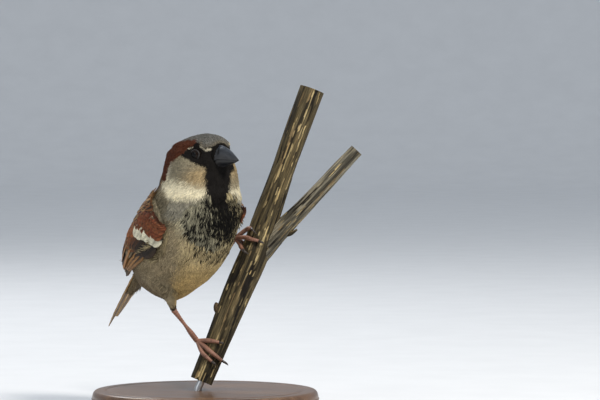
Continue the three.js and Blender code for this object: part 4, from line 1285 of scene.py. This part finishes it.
def gorget_feathers():
    """Pale feathers with a black centre, larger towards the bib, lying over the breast."""
    root = scatter_body(22, -11, 1.75)
    root, normal, _ = on_skin(root[root[:, 0] > 5], 2.6)
    way = flow(root, normal)
    seen = root + 2.9 * way
    middle, half = bib_limits(seen[:, 2])
    core = np.abs(seen[:, 1] - middle) / np.maximum(half, 0.1)
    oval = np.hypot((seen[:, 1] - 1.5) / 14.6, (seen[:, 2] - 7.0) / 12.0)
    dash = (oval >= 1.02) & (oval < 1.45) & (seen[:, 2] < 0) & (np.abs(seen[:, 1] - 3.5) < 11)
    dash &= rng.uniform(0, 1, len(root)) < 0.3
    keep = ((oval < 1.02) & ~((core < 0.92) & (seen[:, 2] > 12))) | dash
    root, normal, way, core, oval, seen, middle, dash = (
        v[keep] for v in (root, normal, way, core, oval, seen, middle, dash)
    )
    n = len(root)
    beyond = smooth(0, 4, seen[:, 1] - middle) * smooth(21, 17, seen[:, 2])
    strength = np.clip(1.2 - 0.95 * oval + 0.4 * beyond + rng.normal(0, 0.28, n), 0, 1)
    in_bib = smooth(1.1, 0.62, core + 0.12 * rng.normal(0, 1, n)) * (seen[:, 2] > -1)
    strength = np.where(dash, 0.3, np.maximum(strength, in_bib))[:, None, None]
    pale = mix((0.29, 0.27, 0.19), (0.42, 0.35, 0.2), smooth(-3, 8, seen[:, 1]))
    pale = mix(pale, BELLY, dash * 1.0)[:, None, None]
    pale = pale * (1 + 0.16 * rng.normal(0, 1, (n, 1, 1, 1)))

    def paint(j, level):
        shake = rng.normal(0, 1, (n, j.shape[1], 1))
        reach = (level - 0.63 - 0.1 * strength + 0.05 * shake) / (0.2 + 0.4 * strength)
        spot = np.hypot(j / (0.36 + 0.85 * strength), reach)
        solid = smooth(0.9, 0.97, strength + 0.05 * shake)
        black = np.maximum(smooth(1.2, 0.9, spot) * (strength > 0.2), solid)
        tone = pale * (0.62 + 0.38 * smooth(0.3, 0.8, level))[..., None] * (1 + 0.14 * shake)[..., None]
        return mix(tone, BLACK, black)

    size = (rng.uniform(3.9, 4.9, n), rng.uniform(2.3, 3.0, n), 0.12)
    coat = (np.tile(BREAST, (n, 1)), np.tile(BREAST, (n, 1)), np.ones(n))
    tufts = tuft_mesh(root, way, normal, size, coat, 8, 4, fan=0.3, bend=20, sink=0.0, paint=paint)
    tuft_piece("coat_gorget", root, tufts)


gorget_feathers()

# ------------------------------------------------------------------ tail feathers

TAIL_DARK, TAIL_TIP, TAIL_EDGE = (0.085, 0.056, 0.03), (0.065, 0.042, 0.024), (0.26, 0.17, 0.085)
# The tail's underside, about three times as bright as its upper side: partly its own paler colour, partly
# painted light that lifts the shaded underside and stands in for light through the vanes.
UNDER_TAIL_PALER_AND_PAINTED_LIGHT = (3.0, 3.0, 2.8)

tail = Vanes(12)
for k in range(12):
    fan = (k - 5.5) / 5.5
    u = blade_rows(26)
    reach = -1 + u * (TAIL["length"] - 2.4 * (1 - abs(fan)) + 0.5)
    spread = np.interp(u, [0, 1], [1.1, 4.3]) * fan
    lift = 0.9 + 1.15 * (1 - abs(fan)) * (1 - 0.35 * u) - 0.45 * abs(fan)
    centre = along_tail(reach, spread, lift)
    normal = unit(along_tail(reach, spread, lift + 1) - centre)
    paint = paint_vane(TAIL_DARK, TAIL_TIP, 0.85, margin=TAIL_EDGE, margin_from=0.78, root_dark=0.85)
    outline = blade_outline(u, 6.4, shoulder=0.35, tip=0.8, blunt=2.0, root=0.5)
    roll = -0.05 * np.sign(fan)
    tail.add(centre, normal, outline, paint, cols=11, cup=0.012, roll=roll, thickness=0.2, under=UNDER_TAIL_PALER_AND_PAINTED_LIGHT)
tail.finish("tail_vanes", VANED_TAIL, "tail_feathers", replaces=("tail",))

# ------------------------------------------------------------------ bill, eyes

BILL_ROWS, BILL_COLS = 56, 40
NOSTRIL_X, NOSTRIL_SIDE = 11.9, 0.72


def paint_bill(upper, t, side, nose):
    """Blue-black horn with a painted highlight along the culmen (the sky's reflection), paler at the seam
    and the tip; black painted shade inside the nostril, on the lower half and on the inner faces.
    """
    rows = np.ones((BILL_ROWS, 1))
    colour = np.tile([0.011, 0.0125, 0.016], (BILL_ROWS, BILL_COLS, 1))
    # painted highlight: the sky's reflection in blue-grey along the upper ridge, fading towards the tip
    if upper:
        colour = mix(colour, (0.04, 0.05, 0.068), 0.8 * bell(side / 0.4) * (1 - t))
    colour = mix(colour, (0.035, 0.033, 0.032), 0.5 * smooth(0.82, 0.97, np.abs(side)) * rows)
    colour = mix(colour, (0.03, 0.029, 0.03), 0.5 * smooth(0.75, 1, t) * np.ones(BILL_COLS))
    if upper:
        # painted shade: near black in the nostril's shallow dent
        colour = mix(colour, (0.003, 0.003, 0.003), np.clip(nose * 1.3, 0, 1))
    else:
        # painted shade: the lower half at 0.7 of the upper's colour; its base browner
        colour = mix(0.7 * colour, (0.05, 0.043, 0.036), 0.3 * smooth(0.4, 0.0, t) * np.ones(BILL_COLS))
    colour = colour.reshape(-1, 3)
    # painted shade: the inner faces, between the mandibles, at half brightness
    return np.vstack([colour, 0.5 * colour])


def bill_half(name):
    upper = name == "upper"
    u = (np.linspace(0, 1, BILL_ROWS) ** 0.8)[:, None]
    x = BILL["base"] - 1.2 + u * (BILL["length"] + 1.2)
    along = (x - BILL["base"]) / BILL["length"]
    t = np.clip(along, 0, 1)
    rim = BILL["culmen"] if upper else BILL["gonys"]
    shut = 1 - t ** (1.75 if upper else 1.55)
    bow = 0.22 * np.sin(np.pi * np.clip(t * 1.4, 0, 1))
    seam = BILL["tomium"] + (BILL["tip"] - BILL["tomium"]) * t + bow - 0.35 * smooth(0.25, -0.05, along)
    depth = (rim - BILL["tomium"]) * shut + (0.2 if upper else -0.2) * t
    half = (BILL["width"] / 2 - (0 if upper else 0.3)) * (1 - t**1.35) + 0.14
    a = np.linspace(0, np.pi, BILL_COLS)
    side, rise = np.cos(a), np.sin(a) ** (0.92 if upper else 1.0)
    ridge = (0.1 if upper else 0.04) * bell(side / 0.12)
    nose = bell((x - NOSTRIL_X) / 0.75) * bell((np.abs(side) - NOSTRIL_SIDE) / 0.16) * upper
    y = half * side * (1 + 0.03 * np.sin(a * 2) ** 2) * (1 - 0.16 * nose)
    z = seam + depth * (rise + ridge * shut) - 0.28 * nose
    wide = x + 0 * a
    inner = np.stack([wide, half * side * 0.92, seam + (0.06 if upper else -0.06) + 0 * a], -1)
    points, faces = closed_slab(np.stack([wide, y, z], -1), inner)
    local = np.stack([u + 0 * a, np.linspace(0, 1, BILL_COLS) + 0 * u], -1).reshape(-1, 2)
    outside, inside = local * np.array([0.96, 0.6]), local * np.array([0.96, 0.3])
    uv = np.vstack([0.02 + outside, np.array([0.02, 0.66]) + inside])
    make_piece(
        f"bill_{name}_horn", to_world(head_to_bird(points)), faces, HORN, (f"bill_{name}",),
        colours=paint_bill(upper, t, side, nose), uv=uv,
    )


bill_half("upper")
bill_half("lower")


def sphere_grid(rows, cols):
    polar, a = np.linspace(0.02, np.pi - 0.02, rows), np.linspace(0, 2 * np.pi, cols, endpoint=False)
    p, a = np.meshgrid(polar, a, indexing="ij")
    return np.stack([np.sin(p) * np.cos(a), np.sin(p) * np.sin(a), np.cos(p)], -1)


def looking_frame(sign):
    out = unit(np.array([0.2, sign * 0.96, 0.12]))
    side = unit(np.cross([0, 0, 1.0], out))
    return side, np.cross(out, side), out


def eye_ball(name, at, e1, e2, out):
    """A flattened ball with a black pupil and a dark brown iris."""
    ball = sphere_grid(40, 64)
    flat = EYE_RADIUS * ball * np.array([1, 1, 0.84])
    points, faces = closed_tube(flat[..., :1] * e1 + flat[..., 1:2] * e2 + flat[..., 2:] * out)
    ball = ball.reshape(-1, 3)
    angle = np.degrees(np.arccos(np.clip(ball[:, 2], -1, 1)))
    colour = mix((0.002, 0.002, 0.002), (0.009, 0.0045, 0.0025), smooth(26, 30, angle))
    colour = mix(colour, (0.006, 0.004, 0.003), smooth(50, 62, angle))
    colour = np.vstack([colour, np.full((2, 3), 0.002)])
    uv = ball[:, :2] * 0.24 + np.where(ball[:, 2:] > 0, 0.25, 0.75)
    uv = np.vstack([uv, [[0.25, 0.25], [0.75, 0.75]]])
    world = to_world(head_to_bird(points + at))
    make_piece(f"eye_ball_{name}", world, faces, GLOSS, (f"eye_{name}",), colours=colour, uv=uv)


def eyelid(name, at, e1, e2, out):
    """A crinkled ring of bare skin round the eye."""
    rows, cols = 96, 14
    a = np.linspace(0, 2 * np.pi, rows, endpoint=False)[:, None]
    b = np.linspace(0, 2 * np.pi, cols, endpoint=False)
    crinkle = 0.04 * np.cos(a * 24)
    ring_r = (2.12 * (1 + 0.07 * np.cos(2 * a)) + (0.26 + crinkle) * np.cos(b))[..., None]
    ring_z = (0.96 + 0.1 * np.cos(2 * a) + (0.3 + crinkle) * np.sin(b))[..., None]
    ring = ring_r * (np.cos(a)[..., None] * e1 + np.sin(a)[..., None] * e2) + ring_z * out
    k = np.arange(cols)
    last = (rows - 1) * cols
    close = np.stack([last + k, last + (k + 1) % cols, (k + 1) % cols, k], -1)
    quads = np.vstack([grid_faces(rows, cols, wrap=True), close])
    points, faces = outward(ring.reshape(-1, 3), quads_to_tris(quads))
    colour = np.array([0.017, 0.015, 0.014]) * (1 + 0.25 * rng.normal(0, 1, (len(points), 1)))
    uv = np.stack([np.repeat(np.arange(rows) / rows, cols), np.tile(k / cols, rows)], -1) * 0.96 + 0.02
    world = to_world(head_to_bird(points + at))
    make_piece(f"eyelid_{name}", world, faces, SCALY, colours=colour, uv=uv)


for name, sign in (("right", -1), ("left", 1)):
    at = np.array([EYE_X, sign * EYE_Y, EYE_Z])
    eye_ball(name, at, *looking_frame(sign))
    eyelid(name, at, *looking_frame(sign))

# ------------------------------------------------------------------ perch

STEM_BARK, BRANCH_BARK = rgb(0.125, 0.098, 0.05), rgb(0.27, 0.245, 0.185)
stem, branch, spur = Spline(STEM_KNOTS), Spline(BRANCH_KNOTS), Spline(SPUR_KNOTS)


def at_stem(along, bearing, distance):
    """A place by its distance up the stem, bearing round it from the front and distance from its axis."""
    t = along / stem.length
    axis = stem.tangent(t)
    front = np.array([0, -1.0, 0])
    front = unit(front - axis * (axis @ front))
    a = math.radians(bearing)
    return stem.at(t) + front * math.cos(a) * distance + np.cross(axis, front) * math.sin(a) * distance


def foot_point(along, bearing, clearance):
    radius = along_rows(STEM_KNOTS, np.array(along / stem.length))[3]
    return to_bird(at_stem(along, bearing, radius + 0.05 + clearance))


def bark_piece(name, knots, curve, rows, cols, seed, straw, replaces=(), bark_light=STEM_BARK):
    """Ridged and cracked bark round a curve, with strips peeled off it down to the straw wood."""
    t = np.linspace(0, 1, rows)
    centres = curve.at(t)
    axis = unit(centres[-1] - centres[0])
    e1 = unit(np.cross(axis, [0, 1, 0.0]))
    flat = tube(centres, along_rows(knots, t)[:, 3], cols).reshape(-1, 3)
    local = (flat - centres[0]) @ np.stack([e1, np.cross(axis, e1), axis], -1)

    strips = long_noise(local + np.array([3, 3, 3 / 0.045]), 0.045, 0.72, seed)
    strips = strips + 0.5 * long_noise(local, 0.12, 0.4, seed + 6)
    ridges = long_noise(local, 0.07, 1.5, seed + 1) + 0.6 * long_noise(local, 0.07, 0.75, seed + 2)
    ridges = ridges + 0.35 * long_noise(local, 0.14, 0.4, seed + 3)
    cracks = smooth(0.4, 0.9, -ridges)
    patches = smooth(-0.35, 0.45, long_noise(local, 0.1, 3.2, seed + 9))
    peeled = smooth(0.3, 0.38, strips - 0.3 * (1 - patches))
    drop = 0.12 * (ridges - 1) - 0.38 * cracks * (1 - peeled) - 0.22 * peeled
    away = unit(flat - np.repeat(centres, cols, axis=0))
    fade = np.repeat(smooth(0, 0.004, t) * smooth(1, 0.996, t), cols)
    flat = flat + away * (drop * (0.3 + 0.7 * fade))[:, None]

    stripes = long_noise(local, 0.05, 0.85, seed + 4) + 0.7 * long_noise(local, 0.2, 2.4, seed + 5)
    bark_tone = mix(bark_light, bark_light * 0.24, smooth(-0.35, 0.45, stripes))
    # painted shade: the sunken cracks darkened to near black
    bark_tone = mix(bark_tone, (0.012, 0.009, 0.006), np.clip(cracks * 1.3, 0, 1))
    straw_tone = mix((0.53, 0.42, 0.22), (0.24, 0.17, 0.085), smooth(-0.4, 0.6, ridges))
    colour = mix(bark_tone, straw_tone, straw * peeled)
    points, tris = closed_tube(flat.reshape(rows, cols, 3))
    colour = np.vstack([colour, [[0.2, 0.15, 0.09], [0.28, 0.22, 0.14]]])
    grain = np.vstack([local, [[0, 0, 0], [0, 0, curve.length]]])
    make_piece(name, points, tris, BARK, replaces, colour, ring_uv(t, cols, 0.01), grain=grain)


def bud_piece():
    ball = sphere_grid(30, 40) * np.array([0.85, 1, BUD_STRETCH]) * BUD_RADIUS
    ball = ball * (1 + 0.05 * hash_noise(ball, 0.5, 8))[..., None]
    points, faces = closed_tube(ball + BUD_AT)
    tone = mix((0.11, 0.075, 0.04), (0.045, 0.03, 0.018), smooth(-0.6, 0.6, hash_noise(points, 0.7, 9)))
    x, y, z = (points - BUD_AT).T
    uv = np.stack([np.arctan2(y, x) / 6.4 + 0.5, (z + 3) / 6.2], -1)
    uv = np.clip(uv, 0.01, 0.99)
    make_piece("bud_bark", points, faces, BARK, colours=tone, uv=uv, grain=points)


bark_piece("perch_bark", STEM_KNOTS, stem, 340, 96, 11, 1.0, replaces=("perch_stem",))
bark_piece("branch_bark", BRANCH_KNOTS, branch, 200, 90, 31, 0.75, bark_light=BRANCH_BARK)
bark_piece("spur_bark", SPUR_KNOTS, spur, 40, 36, 51, 0.3)
bud_piece()

# ------------------------------------------------------------------ legs, toes and claws

LEG_TONE, TOE_TONE, CLAW_TONE = (0.25, 0.125, 0.085), (0.235, 0.118, 0.08), (0.04, 0.03, 0.025)
PAD_CLEARANCE = 0.72


def scaled_limb(name, points, radii, material, replaces, tone, rows, cols, scute, ridge):
    """A limb along a curve, ringed by scutes with a groove between them."""
    curve = Spline(points, 60)
    t = np.linspace(0, 1, rows)
    radius = along_rows([[r] for r in radii], t)[:, 0]
    saw = (t * curve.length / scute) % 1
    step = 0.77 * (1 + ridge * (smooth(0, 0.25, saw) * smooth(1.0, 0.55, saw) - 0.4))
    points, tris = closed_tube(tube(curve.at(t), radius * step, cols))
    groove = np.repeat(smooth(0.16, 0.0, saw) + smooth(0.9, 1.0, saw), cols)
    colour = np.tile(tone, (len(points), 1))
    colour[: rows * cols] *= (1 - 0.45 * np.clip(groove, 0, 1))[:, None]
    colour *= (1 + 0.1 * hash_noise(points, 0.6, 21))[:, None]
    make_piece(name, to_world(points), tris, material, (replaces,), colour, ring_uv(t, cols, 0.02))


for name, leg in LEGS.items():
    heel, foot = np.array(leg["heel"], float), foot_point(*leg["foot"])
    line = [heel + (foot - heel) * t for t in (0, 0.12, 0.5, 0.9, 1)]
    scaled_limb(
        f"tarsus_scutes_{name}", line, TARSUS_RADII, SCALY, f"tarsus_{name}", LEG_TONE,
        180, 20, scute=1.35, ridge=0.1,
    )
    for digit, (path, claw) in leg["toes"].items():
        pads = [foot_point(along, bearing_here, PAD_CLEARANCE) for along, bearing_here in path]
        start = foot + (pads[0] - foot) * 0.12
        scaled_limb(
            f"toe_scutes_{name}_{digit}", [start, *pads], TOE_RADII, SCALY,
            f"toe_{name}_{digit}", TOE_TONE, 90, 20, scute=0.75, ridge=0.12,
        )
        tip = foot_point(claw[0], claw[1], claw[2] + 0.2)
        middle = [(a + b) / 2 for a, b in zip(path[-1], claw)]
        knuckle = foot_point(*middle, 1.5 + claw[2] * 0.4)
        scaled_limb(
            f"claw_horn_{name}_{digit}", [pads[-1], knuckle, tip], CLAW_RADII, HORN,
            f"claw_{name}_{digit}", CLAW_TONE, 48, 16, scute=9, ridge=0.0,
        )

# ------------------------------------------------------------------ stand

BASE_PROFILE = [
    # radius and height: foot, groove, rounded edge, rings on the top, and the dip at the rod
    (0, 0.25), (47.6, 0.25), (48.4, 0), (49.2, 0.3), (50, 1.2), (50, 3.2), (49.6, 3.9), (48.9, 4.3),
    (48.9, 4.8), (49.5, 5.3), (49.7, 6.4),
    *((49.4 - 1.9 * (1 - math.cos(a)), 6.6 + 3.4 * math.sin(a)) for a in np.linspace(0.1, math.pi / 2, 12)),
    (44, 10), (43.4, 9.75), (42.6, 9.75), (42, 10), (20, 10), (2.4, 10), (1.75, 9.9), (1.7, 9), (0, 9),
]
BASE_AROUND = 160
stem_end, rod_top = stem.at(0.0), stem.at(ROD_IN_STEM / stem.length)
rod_x, rod_y, _ = stem_end - 0.35 * (rod_top - stem_end)


def turned_base():
    """The turned base, its middle drawn over to the rod."""
    profile = np.array(BASE_PROFILE)
    fine = np.linspace(0, len(profile) - 1, 140)
    r, z = (np.interp(fine, np.arange(len(profile)), column)[:, None] for column in profile.T)
    a = np.linspace(0, 2 * np.pi, BASE_AROUND, endpoint=False)
    hub = np.clip(1 - r / 40, 0, 1)
    ring = np.stack([r * np.cos(a) + rod_x * hub, r * np.sin(a) + rod_y * hub, z + 0 * a], -1)
    points, faces = closed_tube(ring)
    make_piece("stand_turned_base", points, faces, walnut_material(), ("stand_base",))


def bent_rod():
    foot, bend = (np.array([rod_x, rod_y, height]) for height in (ROD_FOOT, BASE_HEIGHT))
    line = Spline([foot, bend, stem_end, rod_top], 80).at(np.linspace(0, 1, 60))
    points, faces = closed_tube(tube(line, np.full(60, ROD_RADIUS), 40))
    make_piece("stand_bent_rod", points, faces, steel_material(), ("stand_rod",))


turned_base()
bent_rod()

# ------------------------------------------------------------------ studio, camera

FLOOR_AROUND = 96
TARGET = Vector((0.0413, -0.003, 0.093))
VIEW_DISTANCE, VIEW_WIDTH, VIEW_ELEVATION = 1.5, 0.26087, math.radians(2)


def place_object(name, data, at=(0, 0, 0)):
    holder = bpy.data.objects.new(name, data)
    holder.location = at
    bpy.context.scene.collection.objects.link(holder)
    return holder


def studio_floor():
    """A round floor whose edge sweeps up into a wall on every side."""
    sweep = [(2.9 + 0.9 * math.sin(a), 0.9 * (1 - math.cos(a))) for a in np.linspace(0.08, math.pi / 2, 20)]
    outline = [(2.9, 0.0), *sweep, (3.8, 2.6)]
    turns = np.linspace(0, 2 * np.pi, FLOOR_AROUND + 1)[:-1]
    points = [(0, 0, 0)] + [(r * math.cos(a), r * math.sin(a), z) for r, z in outline for a in turns]
    ring = [(k, (k + 1) % FLOOR_AROUND) for k in range(FLOOR_AROUND)]
    faces = [(0, 1 + k, 1 + after) for k, after in ring]
    for low in range(1, 1 + FLOOR_AROUND * (len(outline) - 1), FLOOR_AROUND):
        high = low + FLOOR_AROUND
        faces += [(low + k, high + k, high + after, low + after) for k, after in ring]
    mesh = bpy.data.meshes.new("floor")
    mesh.from_pydata(points, [], faces)
    mesh.materials.append(floor_material())
    for polygon in mesh.polygons:
        polygon.use_smooth = True
    place_object("studio_sweep", mesh)


def area_light(name, at, size, power, colour=(1, 1, 1)):
    lamp = bpy.data.lights.new(name, "AREA")
    lamp.shape, lamp.size, lamp.energy, lamp.color = "DISK", size, power, colour
    holder = place_object(name, lamp, at)
    holder.rotation_euler = (TARGET - Vector(at)).to_track_quat("-Z", "Y").to_euler()


studio_floor()
camera = bpy.data.cameras.new("camera")
camera.lens = 36 * VIEW_DISTANCE / VIEW_WIDTH
camera.clip_start = 0.01
forward = Vector((0, math.cos(VIEW_ELEVATION), -math.sin(VIEW_ELEVATION)))
viewer = place_object("camera", camera, TARGET - forward * VIEW_DISTANCE)
viewer.rotation_euler = forward.to_track_quat("-Z", "Y").to_euler()
bpy.context.scene.camera = viewer
area_light("key", (0.62, -0.72, 1.0), 0.26, 17, (1.0, 0.95, 0.87))
area_light("fill", (-1.0, -0.9, 0.6), 0.9, 2.6, (0.92, 0.96, 1.0))
area_light("rim", (-0.45, 0.75, 0.9), 0.5, 5)
world = bpy.data.worlds.new("studio")
world.use_nodes = True
background = world.node_tree.nodes["Background"]
background.inputs["Color"].default_value = (0.8, 0.86, 0.92, 1)
background.inputs["Strength"].default_value = 0.78
bpy.context.scene.world = world
bpy.context.scene.view_settings.view_transform = "Standard"
